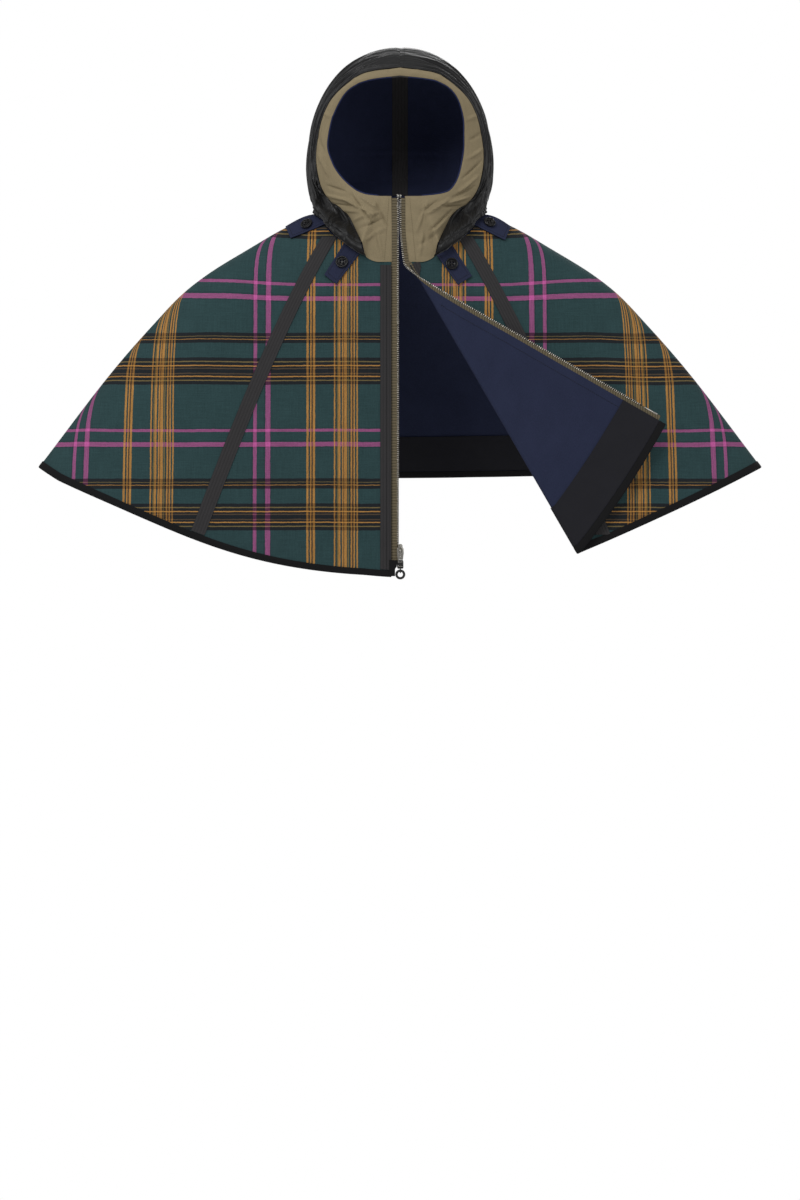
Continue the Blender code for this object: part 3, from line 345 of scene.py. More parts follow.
# Wool. A thick double-faced cloth, woven as a large check outside and plain navy inside. Each yarn has a
# colour and a strength: where warp and weft cross, the stronger yarn covers more of the face.
YARN_COLUMNS = ("shade", "strength")
YARNS = {
    "teal": ((44, 65, 67), 0.5),
    "dark_teal": ((36, 51, 55), 0.5),
    "gold": ((172, 124, 62), 0.82),
    "olive": ((116, 98, 58), 0.76),
    "brown": ((84, 62, 42), 0.7),
    "black": ((30, 28, 32), 0.86),
    "pink": ((180, 86, 146), 0.5),
}
STRIPE_COLUMNS = ("width", "yarn")
WARP_STRIPES = (
    (66, "teal"), (2.5, "gold"), (2, "teal"), (3, "gold"), (2, "brown"), (2.5, "gold"),
    (2.5, "dark_teal"), (2, "olive"), (1.5, "teal"), (4, "gold"), (2, "brown"), (2, "gold"),
    (2.5, "teal"), (3.5, "gold"), (2, "olive"), (2, "dark_teal"), (3, "gold"), (30, "teal"), (3, "gold"),
    (2, "brown"), (2.5, "gold"), (2.5, "dark_teal"), (3.5, "gold"), (56, "teal"), (2, "dark_teal"),
    (8, "pink"), (2, "dark_teal"), (12, "teal"), (5, "pink"), (2, "dark_teal"), (60, "teal"),
)
WEFT_STRIPES = (
    (18, "teal"), (6, "black"), (1.5, "olive"), (5, "black"), (1.5, "gold"), (3, "black"), (2, "brown"),
    (6, "black"), (2, "brown"), (3, "black"), (1.5, "gold"), (5, "black"), (1.5, "olive"), (6, "black"),
    (24, "teal"), (5, "black"), (1.5, "gold"), (3, "black"), (1.5, "olive"), (5, "black"), (50, "teal"),
    (2, "dark_teal"), (8, "pink"), (2, "dark_teal"), (14, "teal"), (5, "pink"), (2, "dark_teal"),
    (52, "teal"),
)
WEFT_OFFSET = 60 * MM
YARN_WOBBLE = 1.4 * MM
WOOL_TWILL = 2.2 * MM
NAVY = (40, 45, 66)
CLOTH_GLOSS = 0.05
BODY_WALL = 2.0 * MM
SEAM_GAP = 0.3 * MM
SHELL_SHARP = 50


def colour(shade):
    """A colour for a shader from a shade in screen values of 0 to 255."""
    screen = np.array(shade, float) / 255
    linear = np.where(screen <= 0.04045, screen / 12.92, ((screen + 0.055) / 1.055) ** 2.4)
    return (*linear, 1.0)


def new_group(name, inputs, outputs):
    """A shader node group with its sockets, and its two end nodes."""
    tree = bpy.data.node_groups.new(name, "ShaderNodeTree")
    for socket, kind in inputs:
        tree.interface.new_socket(socket, in_out="INPUT", socket_type="NodeSocket" + kind)
    for socket, kind in outputs:
        tree.interface.new_socket(socket, in_out="OUTPUT", socket_type="NodeSocket" + kind)
    return tree, tree.nodes.new("NodeGroupInput"), tree.nodes.new("NodeGroupOutput")


def place_group(tree, group, values):
    return add_node(tree, "ShaderNodeGroup", values, node_tree=group)


# The weave's diagonal lines, the fibres on it and its slow unevenness, in metres along the cloth
weave, weave_in, weave_out = new_group(
    "woven_cloth",
    (("Cloth", "Vector"), ("Colour", "Color"), ("Twill", "Float"), ("Lines", "Float"), ("Fibres", "Float"),
     ("Mottle", "Float")),
    (("Colour", "Color"), ("Height", "Float"), ("Roughness", "Float")))
cloth_parts = add_node(weave, "ShaderNodeSeparateXYZ", {0: weave_in.outputs["Cloth"]})
diagonal = math_node(weave, "ADD", cloth_parts.outputs[0], cloth_parts.outputs[1])
line_place = math_node(weave, "DIVIDE", diagonal, weave_in.outputs["Twill"])
line = math_node(weave, "MULTIPLY", math_node(weave, "PINGPONG", line_place, 0.5), 2.0)
fibre = add_node(weave, "ShaderNodeTexNoise", {
    "Vector": weave_in.outputs["Cloth"], "Scale": 420.0, "Detail": 3.0, "Roughness": 0.7}).outputs[0]
mottle = add_node(weave, "ShaderNodeTexNoise", {
    "Vector": weave_in.outputs["Cloth"], "Scale": 26.0, "Detail": 4.0, "Roughness": 0.6}).outputs[0]
tone = 1.0
for effect, amount in ((line, "Lines"), (fibre, "Fibres"), (mottle, "Mottle")):
    centred = math_node(weave, "SUBTRACT", effect, 0.5)
    tone = math_node(weave, "MULTIPLY_ADD", centred, weave_in.outputs[amount], tone)
toned = add_node(weave, "ShaderNodeVectorMath", {
    0: weave_in.outputs["Colour"], "Scale": tone}, operation="SCALE")
set_inputs(weave, weave_out, {
    "Colour": toned.outputs[0], "Height": math_node(weave, "MULTIPLY_ADD", line, 0.5, fibre),
    "Roughness": math_node(weave, "MULTIPLY_ADD", fibre, 0.3, 0.65)})

# The check: one ramp of warp stripes across the cloth and one of weft stripes down it, with strength as alpha
check, check_in, check_out = new_group("woven_check", (("Cloth", "Vector"),), (("Colour", "Color"),))
wobble = add_node(check, "ShaderNodeTexNoise", {
    "Vector": check_in.outputs["Cloth"], "Scale": 110.0, "Detail": 2.0}).outputs[0]
shifted = math_node(check, "MULTIPLY", math_node(check, "SUBTRACT", wobble, 0.5), YARN_WOBBLE)
check_parts = add_node(check, "ShaderNodeSeparateXYZ", {0: check_in.outputs["Cloth"]})


def stripe_colour(axis, offset, rows, stretch):
    """Colour and strength of the yarns along one direction, with slubs that run along the yarn."""
    stripes = [dict(zip(STRIPE_COLUMNS, row)) for row in rows]
    repeat = sum(stripe["width"] for stripe in stripes)
    place = math_node(check, "ADD", math_node(check, "ADD", check_parts.outputs[axis], shifted), offset)
    turn = math_node(check, "FRACT", math_node(check, "DIVIDE", place, repeat * MM))
    ramp = add_node(check, "ShaderNodeValToRGB", {0: turn})
    ramp.color_ramp.interpolation = "CONSTANT"
    points = ramp.color_ramp.elements
    points.remove(points[1])
    reached = 0
    for number, stripe in enumerate(stripes):
        yarn = dict(zip(YARN_COLUMNS, YARNS[stripe["yarn"]]))
        point = points[0] if number == 0 else points.new(reached / repeat)
        point.color = colour(yarn["shade"])[:3] + (yarn["strength"],)
        reached += stripe["width"]
    yarn_run = add_node(check, "ShaderNodeMapping", {0: check_in.outputs["Cloth"], "Scale": stretch})
    slub = add_node(check, "ShaderNodeTexNoise", {"Vector": yarn_run.outputs[0], "Scale": 1.0, "Detail": 2.0})
    tone = math_node(check, "MULTIPLY_ADD", slub.outputs[0], 0.9, 0.55)
    toned = add_node(check, "ShaderNodeVectorMath", {0: ramp.outputs[0], "Scale": tone}, operation="SCALE")
    return toned.outputs[0], ramp.outputs[1]


warp, warp_strength = stripe_colour(0, 0.0, WARP_STRIPES, (700, 30, 1))
weft, weft_strength = stripe_colour(1, WEFT_OFFSET, WEFT_STRIPES, (30, 700, 1))
weft_share = math_node(check, "ADD", math_node(check, "SUBTRACT", weft_strength, warp_strength), 0.5)
crossing = add_node(check, "ShaderNodeMix", {0: weft_share, 6: warp, 7: weft}, data_type="RGBA")
set_inputs(check, check_out, {"Colour": crossing.outputs[2]})


def cloth_material(name, shade, twill, lines, fibres, mottle_amount, bump, pattern=None):
    """A woven cloth of one shade, or of a pattern group's colours, on the cloth's own metres."""
    material, tree, shader = new_material(name)
    cloth = add_node(tree, "ShaderNodeUVMap", uv_map="cloth").outputs[0]
    shade_value = colour(shade)
    if pattern:
        shade_value = place_group(tree, pattern, {"Cloth": cloth}).outputs[0]
    woven = place_group(tree, weave, {
        "Cloth": cloth, "Colour": shade_value, "Twill": twill, "Lines": lines, "Fibres": fibres,
        "Mottle": mottle_amount})
    relief = add_node(tree, "ShaderNodeBump", {
        "Height": woven.outputs["Height"], "Distance": bump, "Strength": 0.6})
    set_inputs(tree, shader, {
        "Base Color": woven.outputs["Colour"], "Roughness": woven.outputs["Roughness"],
        "Normal": relief.outputs[0], "Specular IOR Level": CLOTH_GLOSS})
    return material


check_wool = cloth_material("check_wool", (0, 0, 0), WOOL_TWILL, 0.2, 0.7, 0.25, 0.35 * MM, check)
navy_wool = cloth_material("navy_wool", NAVY, WOOL_TWILL, 0.14, 0.6, 0.3, 0.35 * MM)


def lengths_along(grid, axis):
    """Distance from the first row or column to each point of a grid, along the cloth."""
    steps = np.linalg.norm(np.diff(grid, axis=axis), axis=2)
    start = np.zeros_like(np.take(steps, [0], axis=axis))
    return np.concatenate((start, np.cumsum(steps, axis=axis)), axis=axis)


def grid_normals(grid):
    return unit(np.cross(np.gradient(grid, axis=0), np.gradient(grid, axis=1)))


def set_cloth_metres(mesh, metres):
    """Gives every corner of a mesh its vertex's place on the flat cloth."""
    layer = mesh.uv_layers.new(name="cloth")
    corners = np.empty(len(mesh.loops), int)
    mesh.loops.foreach_get("vertex_index", corners)
    layer.data.foreach_set("uv", metres[corners].astype(np.float32).ravel())


def smooth_mesh(name, points, faces):
    mesh = bpy.data.meshes.new(name)
    mesh.from_pydata(np.reshape(points, (-1, 3)).tolist(), [], faces)
    mesh.polygons.foreach_set("use_smooth", np.ones(len(mesh.polygons), bool))
    mesh.update()
    return mesh


def cloth_shell(name, grid, normals, wall, cloths, metres=None):
    """A closed thin shell on a grid, in one cloth or in one outside and one inside."""
    rows, cols = grid.shape[:2]
    count = rows * cols
    place = np.arange(count).reshape(rows, cols)
    a, b, c, d = place[:-1, :-1], place[:-1, 1:], place[1:, :-1], place[1:, 1:]
    outer = np.stack((a, c, d, b), axis=-1).reshape(-1, 4)
    inner = np.stack((a, b, d, c), axis=-1).reshape(-1, 4) + count
    rim = np.concatenate((place[0], place[1:, -1], place[-1, -2::-1], place[-2:0:-1, 0]))
    after = np.roll(rim, -1)
    edge = np.stack((rim, after, after + count, rim + count), axis=-1)
    vertices = np.stack((grid + normals * wall / 2, grid - normals * wall / 2))
    mesh = smooth_mesh(name, vertices, np.concatenate((outer, inner, edge)).tolist())
    within = len(cloths) - 1
    side = np.repeat((0, within, within), (len(outer), len(inner), len(edge)))
    obj = link_mesh(name, mesh, *cloths)
    mesh.polygons.foreach_set("material_index", side.astype(np.int32))
    mesh.set_sharp_from_angle(angle=np.radians(SHELL_SHARP))
    if metres is None:
        metres = np.stack((lengths_along(grid, 1), lengths_along(grid, 0)), axis=-1)
    flat = metres.reshape(-1, 2)
    set_cloth_metres(mesh, np.concatenate((flat, flat)))
    mesh.update()
    return obj


def sew_on(obj, slot, *nodes):
    """The piece moves with the cape and stands for its solids."""
    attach(obj, "cape")
    if nodes:
        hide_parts(*nodes)
    return obj


def sew_sheet(name, grid, normals, wall, cloths, sewn, metres=None):
    """A sheet's shell, sewn on to the cape for a node."""
    obj = cloth_shell(name, grid, normals, wall, cloths, metres)
    sew_on(obj, *sewn)


# Four of the five panels of the body. Each is cut to its seams, filled out by the wearer, and hangs from the
# neck. The check runs on from the fronts to the sides, upright at the centre front; the back is cut with the
# check upright at its own middle.
SEAM_TOP = (106 * MM, -29 * MM)
SEAM_FOOT = (320 * MM, -506 * MM)
SEAM_BOW = 14 * MM
SEAM_BOW_HIGH = 0.75
SEAM_LEFT_IN = 9 * MM
SIDE_SEAM = 104
BACK_SEAM_STEP = 0.2
FRONT_EDGE = 13.8 * MM
PANEL_ROWS = 72
CHECK_ROUNDNESS = 0.7
CHECK_STRETCH = 1.02
CHECK_RISE = 0.06
CHECK_RISE_FROM = 150 * MM
CHECK_RISE_LOW = -200 * MM
CHECK_RISE_SPAN = 140 * MM
ARC_STEPS = 24
SOLVE_STEPS = 40


def seam_x(z, side):
    """Distance of a front seam from the centre front, on the left (1) or right (-1); it bows outward."""
    share = (SEAM_TOP[1] - z) / (SEAM_TOP[1] - SEAM_FOOT[1])
    within = np.clip(share, 0, 1)
    bow = SEAM_BOW * np.sin(pi * within ** SEAM_BOW_HIGH)
    if side > 0:
        bow = bow - SEAM_LEFT_IN * (1 - within)
    return mix(SEAM_TOP[0], SEAM_FOOT[0], share) + bow


def right_front_angle(share, z):
    return angle_at(-mix(seam_x(z, -1) - SEAM_GAP / 2, FRONT_EDGE, share), z)


def left_side_angle(share, z):
    return mix(angle_at(seam_x(z, 1) + SEAM_GAP / 2, z), SIDE_SEAM, share)


def right_side_angle(share, z):
    return -mix(SIDE_SEAM, angle_at(seam_x(z, -1) + SEAM_GAP / 2, z), share)


def back_angle(share, z):
    start = SIDE_SEAM + BACK_SEAM_STEP
    return mix(start, 360 - start, share) + 0 * z


def settle(z, height_at):
    """Heights that agree with the edge which they lead to."""
    for _ in range(SOLVE_STEPS):
        z = mix(z, height_at(z), 0.5)
    return z


def panel_ends(angle_of, shares):
    """Heights at which the lines of a panel meet the neck and the hem."""
    top = settle(0 * shares, lambda z: neck_edge(angle_of(shares, z)))
    return top, settle(HEM_SIDE + 0 * shares, lambda z: hem_height(angle_of(shares, z)))


def round_distance(angle, z):
    """Distance round the body from the centre front, on a section a little flatter than the body."""
    steps = (np.arange(ARC_STEPS) + 0.5) / ARC_STEPS
    turn = np.radians(np.abs(angle))[..., None] * steps
    depth = np.where(np.cos(turn) >= 0, front_depth(z)[..., None], back_depth(z)[..., None])
    depth = depth * CHECK_ROUNDNESS
    speed = np.hypot(half_width(z)[..., None] * np.cos(turn), depth * np.sin(turn))
    return speed.mean(axis=-1) * np.radians(np.abs(angle))


def check_metres(angle, z, middle=0):
    """Place in the check, from a panel's middle; near the shoulders the cloth rises towards the sides."""
    angle = (angle - middle + 180) % 360 - 180
    across = round_distance(angle, z)
    rise = CHECK_RISE * np.maximum(across - CHECK_RISE_FROM, 0) * ease((z - CHECK_RISE_LOW) / CHECK_RISE_SPAN)
    side = np.sign(angle) if middle else 1
    return np.stack((side * across, z * CHECK_STRETCH - rise), axis=-1)


PANEL_COLUMNS = ("name", "node", "angle_of", "columns", "middle")
PANELS = (
    ("right_front", "front_right", right_front_angle, 60, 0),
    ("right_side", "side_right", right_side_angle, 90, 0),
    ("back_panel", "back", back_angle, 150, 180),
    ("left_side", "side_left", left_side_angle, 90, 0),
)
hem_lines = {}
for row in PANELS:
    panel = dict(zip(PANEL_COLUMNS, row))
    shares = np.linspace(0, 1, panel["columns"])
    top, foot = panel_ends(panel["angle_of"], shares)
    heights = mix(top, foot, np.linspace(0, 1, PANEL_ROWS)[:, None])
    angles = panel["angle_of"](shares, heights)
    grid = on_body(angles, heights)
    sew_sheet(panel["name"], grid, body_normal(angles, heights), BODY_WALL, (check_wool, navy_wool),
              ("plaid_wool", panel["node"]),
              check_metres(angles, heights, panel["middle"]))
    hem_lines[panel["node"]] = (panel["angle_of"], shares, foot)


# Left front panel. Its front edge is turned back along a slanted roll, so that the navy inside shows and the
# zip runs out to a corner on the chest. It is one cut with the part that lies on the body.
ROLL_TOP = np.array((16, -80)) * MM
ROLL_TIP = np.array((282, -541)) * MM
ZIP_START = np.array((5, -80)) * MM
ZIP_TURN = np.array((16, -96)) * MM
ZIP_STRAIGHT = np.array((50, -115)) * MM
ZIP_CORNER = np.array((418, -334)) * MM
ZIP_TURN_SHARE = 0.118
TURN_RADIUS = 4.5 * MM
TURN_START = 0.35
TURN_SHARE = 0.13
FLAP_LIFT = 0.06
FLAP_HEM_BOW = 7 * MM
FACING_SHARE = 0.845
BINDING_SHARE = 0.98
FACING_WIDTH = 64 * MM
BINDING_WIDTH = 8 * MM
ZIP_WIDTH = 9.0 * MM
TEETH_WIDTH = 3.5 * MM
FLAP_STEPS = 44
ROLL_STEPS = 12
LEFT_STEPS = 26
LEFT_ROWS = 96
TWIST_SHARE = 0.14
TWIST_ROWS = 22
ZIP_TUCK = 5 * MM
FLAP_CREASES = (
    (120, -180, 300, -300, 26, 2.6),
    (150, -260, 330, -420, 30, -2.2),
    (230, -380, 360, -380, 26, 2.4),
    (90, -190, 240, -440, 22, 1.4),
    (330, -350, 300, -500, 22, -1.6),
)
roll_along = unit(ROLL_TIP - ROLL_TOP)
roll_inward = np.array((-roll_along[1], roll_along[0]))


def lifted(places, lift):
    """Points seen at places of the front view, lifted off the creased body."""
    x, z = places[..., 0], places[..., 1]
    return on_body(angle_at(x, z), z, lift)


def zip_edge(share):
    """Outer side of the left zip's teeth, as seen from the front."""
    if share < ZIP_TURN_SHARE:
        t = share / ZIP_TURN_SHARE
        return ZIP_START * (1 - t) ** 2 + 2 * ZIP_TURN * t * (1 - t) + ZIP_STRAIGHT * t * t
    return mix(ZIP_STRAIGHT, ZIP_CORNER, (share - ZIP_TURN_SHARE) / (1 - ZIP_TURN_SHARE))


def path_lengths(points):
    """Distance from the first point of a polyline to each of its points."""
    return np.concatenate(([0], np.cumsum(np.linalg.norm(np.diff(points, axis=0), axis=1))))


def flap_row(share):
    """One row of the left front: zip points, cloth points from the zip to the roll's foot, and its place."""
    edge = mix(ROLL_TOP, ROLL_TIP, share)
    turn = mix(TURN_START, pi, ease(share / TURN_SHARE))
    tangent = edge + roll_inward * TURN_RADIUS * np.sin(min(turn, pi / 2))
    parts = turn * np.linspace(0, 1, ROLL_STEPS + 1)
    roll_places = tangent - roll_inward * TURN_RADIUS * np.sin(parts)[:, None]
    roll = lifted(roll_places, TURN_RADIUS * (1 - np.cos(parts)))
    teeth = zip_edge(share)
    rise = 2 * TURN_RADIUS * ease(share / (TURN_SHARE / 2)) + FLAP_LIFT * np.linalg.norm(teeth - edge)
    roll_end = tangent - roll_inward * TURN_RADIUS * np.sin(turn)
    lift_end = TURN_RADIUS * (1 - np.cos(turn))
    length = np.linalg.norm(lifted(teeth, np.array(rise)) - roll[-1])
    bow = FLAP_HEM_BOW * share ** 3

    def flap_points(distances):
        part = distances / length
        places = mix(roll_end, teeth, part[:, None]) + roll_along * (bow * 4 * part * (1 - part))[:, None]
        wave = crease_height(FLAP_CREASES, places[:, 0], places[:, 1]) * ease(part / 0.2)
        return lifted(places, mix(lift_end, rise, part) + wave)

    cloth = length - ZIP_WIDTH
    zip_places = np.array((cloth - ZIP_TUCK, cloth + SEAM_GAP, length - TEETH_WIDTH - SEAM_GAP, length))
    flap = flap_points(np.linspace(cloth, 0, FLAP_STEPS, endpoint=False))
    return flap_points(zip_places), np.concatenate((flap, roll[::-1])), tangent


left_seam_top, left_seam_foot = panel_ends(
    lambda share, z: angle_at(seam_x(z, 1) - SEAM_GAP / 2, z), np.zeros(1))


def left_seam_height(share):
    """Height on the slanted seam that belongs to a row of the left front."""
    foot = left_seam_foot[0]
    return np.interp(share, (0, FACING_SHARE, BINDING_SHARE, 1),
                     (left_seam_top[0], foot + FACING_WIDTH, foot + BINDING_WIDTH, foot))


def neck_height(x):
    """Height of the neck edge at a distance from the centre front."""
    return settle(NECK_FRONT + 0 * x, lambda z: neck_edge(angle_at(x, z)))


def seam_place(share):
    z = left_seam_height(share)
    return np.array((seam_x(z, 1) - SEAM_GAP / 2, z))


left_shares = np.concatenate((
    np.linspace(0, TWIST_SHARE, TWIST_ROWS, endpoint=False),
    np.linspace(TWIST_SHARE, 1, LEFT_ROWS - TWIST_ROWS)))
across = np.linspace(0, 1, LEFT_STEPS + 1)[1:, None]
neck_places = mix(flap_row(0.0)[2], seam_place(0.0), across)
neck_gap = neck_height(neck_places[:, 0]) - neck_places[:, 1]
left_rows = []
left_metres = []
left_zip_rows = []
for share in left_shares:
    zip_points, turned, foot_place = flap_row(share)
    places = mix(foot_place, seam_place(share), across)
    places[:, 1] += neck_gap * (1 - share) ** 3
    left_rows.append(np.concatenate((turned, lifted(places, 0.0))))
    left_zip_rows.append(zip_points)
    reach = path_lengths(turned[::-1])[::-1]
    opened = np.concatenate((foot_place - roll_inward * reach[:, None], places))
    left_metres.append(check_metres(angle_at(opened[:, 0], opened[:, 1]), opened[:, 1]))
left_front_grid = np.array(left_rows)
left_zip_grid = np.array(left_zip_rows)
left_front_normals = grid_normals(left_front_grid)
sew_sheet("left_front", left_front_grid, left_front_normals, BODY_WALL, (check_wool, navy_wool),
          ("plaid_wool", "front_left"), np.array(left_metres))


# Seam tapes and front facing strips. Matt dark grey woven tape with faint ribs along it, laid over the
# slanted seams and beside the zip. The right strip is stitched down along its middle.
TRIM_WALL = 1.0 * MM
TRIM_LIFT = BODY_WALL / 2 + SEAM_GAP + TRIM_WALL / 2
TRIM_END = 1 * MM
TAPE_REACH = 12.2 * MM
STRIP_WIDTH = 17.6 * MM
STRIP_START = 0.5 * MM
STRIP_END = 1.5 * MM
STRIP_STITCH_COLUMN = 7
LEFT_STRIP_START = 0.006
LEFT_STRIP_ACROSS = 9
LEFT_STRIP_NARROW = 0.6
LEFT_STRIP_NARROW_FROM = 0.02
LEFT_STRIP_NARROW_OVER = 0.05
TAPE_GREY = (52, 51, 52)
TAPE_ROWS = 90
TAPE_ACROSS = 13
THREAD_NOISE = {"Scale": 900.0, "Detail": 2.0}
THREAD_ROUGHNESS = 0.7
STITCH_COLUMNS = ("along", "rise", "size")
STITCH_RINGS = (
    (-0.5, -0.7, 0.6),
    (-0.36, 0.35, 1.0),
    (0.0, 0.75, 1.05),
    (0.36, 0.35, 1.0),
    (0.5, -0.7, 0.6),
)
STITCH_SIDES = 6
STITCH_SHARE = 0.72


# Ribs of a woven tape: their height, and a painted shade that follows it, darker in the grooves and lighter
# on the ribs' tops
ribs, ribs_in, ribs_out = new_group(
    "tape_ribs", (("Place", "Float"), ("Pitch", "Float"), ("Depth", "Float")),
    (("Height", "Float"), ("Painted shade", "Float")))
rib_place = math_node(ribs, "DIVIDE", ribs_in.outputs["Place"], ribs_in.outputs["Pitch"])
rib_height = math_node(ribs, "PINGPONG", rib_place, 0.5)
groove_painted_shade = math_node(ribs, "MULTIPLY_ADD", ribs_in.outputs["Depth"], -0.25, 1.0)
rib_painted_shade = math_node(ribs, "MULTIPLY_ADD", rib_height, ribs_in.outputs["Depth"], groove_painted_shade)
set_inputs(ribs, ribs_out, {"Height": rib_height, "Painted shade": rib_painted_shade})

# Uneven tone: a cloud of noise, and two shades mixed by it
uneven, uneven_in, uneven_out = new_group(
    "uneven_tone",
    (("Place", "Vector"), ("Dark", "Color"), ("Light", "Color"), ("Scale", "Float"), ("Detail", "Float"),
     ("Distortion", "Float")),
    (("Colour", "Color"), ("Cloud", "Float")))
cloud = add_node(uneven, "ShaderNodeTexNoise", {
    "Vector": uneven_in.outputs["Place"], "Scale": uneven_in.outputs["Scale"],
    "Detail": uneven_in.outputs["Detail"], "Distortion": uneven_in.outputs["Distortion"]}).outputs[0]
cloud_shade = add_node(uneven, "ShaderNodeMix", {
    0: cloud, 6: uneven_in.outputs["Dark"], 7: uneven_in.outputs["Light"]}, data_type="RGBA")
set_inputs(uneven, uneven_out, {"Colour": cloud_shade.outputs[2], "Cloud": cloud})


def ribbed_material(name, shade, pitch, depth, direction=0):
    """A woven tape with ribs along it, or across it in direction 1; depth sets how strongly its colour is
    painted darker in the grooves and lighter on the ribs' tops.
    """
    material, tree, shader = new_material(name)
    cloth = add_node(tree, "ShaderNodeUVMap", uv_map="cloth").outputs[0]
    parts = add_node(tree, "ShaderNodeSeparateXYZ", {0: cloth})
    ribbed = place_group(tree, ribs, {"Place": parts.outputs[direction], "Pitch": pitch, "Depth": depth})
    woven = place_group(tree, weave, {
        "Cloth": cloth, "Colour": colour(shade), "Twill": 1.4 * MM, "Lines": 0.1, "Fibres": 0.3,
        "Mottle": 0.2})
    toned = add_node(tree, "ShaderNodeVectorMath", {
        0: woven.outputs["Colour"], "Scale": ribbed.outputs["Painted shade"]}, operation="SCALE")
    relief_height = math_node(tree, "MULTIPLY_ADD", woven.outputs["Height"], 0.3, ribbed.outputs["Height"])
    relief = add_node(tree, "ShaderNodeBump", {
        "Height": relief_height, "Distance": 0.7 * MM, "Strength": 0.8})
    set_inputs(tree, shader, {
        "Base Color": toned.outputs[0], "Roughness": woven.outputs["Roughness"], "Normal": relief.outputs[0],
        "Specular IOR Level": CLOTH_GLOSS})
    return material


def two_tone_material(name, dark, light, noise, roughness, wear=0.0, specular=0.5, place="Generated"):
    """A thread, resin or enamel in two uneven shades, which may be rougher where it is lighter."""
    material, tree, shader = new_material(name)
    placed = add_node(tree, "ShaderNodeTexCoord").outputs[place]
    toned = place_group(tree, uneven, {
        "Place": placed, "Dark": colour(dark), "Light": colour(light), **noise})
    gloss = math_node(tree, "MULTIPLY_ADD", toned.outputs["Cloud"], wear, roughness) if wear else roughness
    set_inputs(tree, shader, {
        "Base Color": toned.outputs["Colour"], "Roughness": gloss, "Specular IOR Level": specular})
    return material


# The grey tape's ribs carry mild painted shade in their grooves and painted light on their tops.
grey_tape = ribbed_material("grey_tape", TAPE_GREY, 5.0 * MM, 0.5)
thread_dark = two_tone_material("dark_thread", (20, 20, 22), (40, 40, 42), THREAD_NOISE, THREAD_ROUGHNESS,
                                specular=CLOTH_GLOSS)


def along_path(points, values, distances):
    """Values at distances along a polyline."""
    lengths = path_lengths(points)
    return np.stack([np.interp(distances, lengths, values[:, k]) for k in range(values.shape[1])], axis=-1)


def path_length(points):
    return np.linalg.norm(np.diff(points, axis=0), axis=1).sum()


def stamp(name, form, faces, middles, sides, outs, alongs, material):
    """Copies of one small form, each in its own frame of side, out and along."""
    points = (middles[:, None] + form[None, :, :1] * sides[:, None] + form[None, :, 1:2] * outs[:, None]
              + form[None, :, 2:] * alongs[:, None])
    count = len(form)
    copies = [[corner + k * count for corner in face] for k in range(len(middles)) for face in faces]
    return link_mesh(name, smooth_mesh(name, points, copies), material)


def turns(count):
    """Even turns round a circle."""
    return 2 * pi * np.arange(count) / count


def tube_faces(place):
    """The faces round a tube from the numbers of its points, one row for each ring."""
    beside = np.roll(place, -1, axis=1)
    return np.stack((place[:-1], beside[:-1], beside[1:], place[1:]), axis=-1).reshape(-1, 4).tolist()


def stitch_form(length, radius):
    """One sewn stitch: a short thread that rises out of the cloth and goes back into it."""
    form = []
    for row in STITCH_RINGS:
        ring = dict(zip(STITCH_COLUMNS, row))
        for turn in turns(STITCH_SIDES):
            rise = radius * (ring["rise"] + ring["size"] * np.sin(turn))
            form.append((radius * ring["size"] * np.cos(turn), rise, ring["along"] * length))
    place = np.arange(len(form)).reshape(-1, STITCH_SIDES)
    return np.array(form), tube_faces(place) + [place[0, ::-1].tolist(), place[-1].tolist()]


def stitch_line(name, points, normals, material, slot, pitch=3.6 * MM, radius=0.34 * MM):
    """A row of stitches along a line on a surface."""
    count = int(path_length(points) / pitch)
    spots = (np.arange(count) + 0.5) * pitch
    middles = along_path(points, points, spots)
    outs = unit(along_path(points, normals, spots))
    ahead = along_path(points, points, spots + pitch / 4) - along_path(points, points, spots - pitch / 4)
    alongs = unit(ahead)
    sides = unit(np.cross(outs, alongs))
    form, faces = stitch_form(pitch * STITCH_SHARE, radius)
    sew_on(stamp(name, form, faces, middles, sides, outs, alongs, material), slot)


def tape_on_body(name, node, left_x, right_x, top, foot):
    """A tape on the front of the body between two lines, each given as a distance across at a height."""
    shares = np.linspace(0, 1, TAPE_ACROSS)

    def angle_of(z):
        return angle_at(mix(left_x(z), right_x(z), shares), z)

    feet = foot + 0 * shares
    on_right = angle_of(feet).mean() < 0
    if on_right:
        feet = settle(feet, lambda z: hem_height(angle_of(z)) + BINDING_WIDTH + TRIM_END)
    heights = mix(top, feet, np.linspace(0, 1, TAPE_ROWS)[:, None])
    angles = angle_of(heights)
    grid = on_body(angles, heights, TRIM_LIFT)
    normals = body_normal(angles, heights)
    sew_sheet(name, grid, normals, TRIM_WALL, (grey_tape,), ("grey_tape", node))
    return grid, normals


tape_top = left_seam_top[0]
right_seam_foot = panel_ends(lambda share, z: angle_at(-seam_x(z, -1), z), np.zeros(1))[1][0]
tape_on_body("right_seam_tape", "seam_tape_right", lambda z: -seam_x(z, -1) - TAPE_REACH,
             lambda z: -seam_x(z, -1) + TAPE_REACH, tape_top, right_seam_foot + BINDING_WIDTH + TRIM_END)
tape_on_body("left_seam_tape", "seam_tape_left", lambda z: seam_x(z, 1) - TAPE_REACH,
             lambda z: seam_x(z, 1) + TAPE_REACH, tape_top, left_seam_foot[0] + BINDING_WIDTH + TRIM_END)
strip_grid, strip_normals = tape_on_body(
    "right_facing_strip", "facing_strip_right", lambda z: -FRONT_EDGE - STRIP_WIDTH + 0 * z,
    lambda z: -FRONT_EDGE + 0 * z, NECK_FRONT - STRIP_START, HEM_RIGHT[0] + BINDING_WIDTH + STRIP_END)
stitch_outs = strip_normals[:, STRIP_STITCH_COLUMN]
stitch_points = strip_grid[:, STRIP_STITCH_COLUMN] + stitch_outs * TRIM_WALL / 2
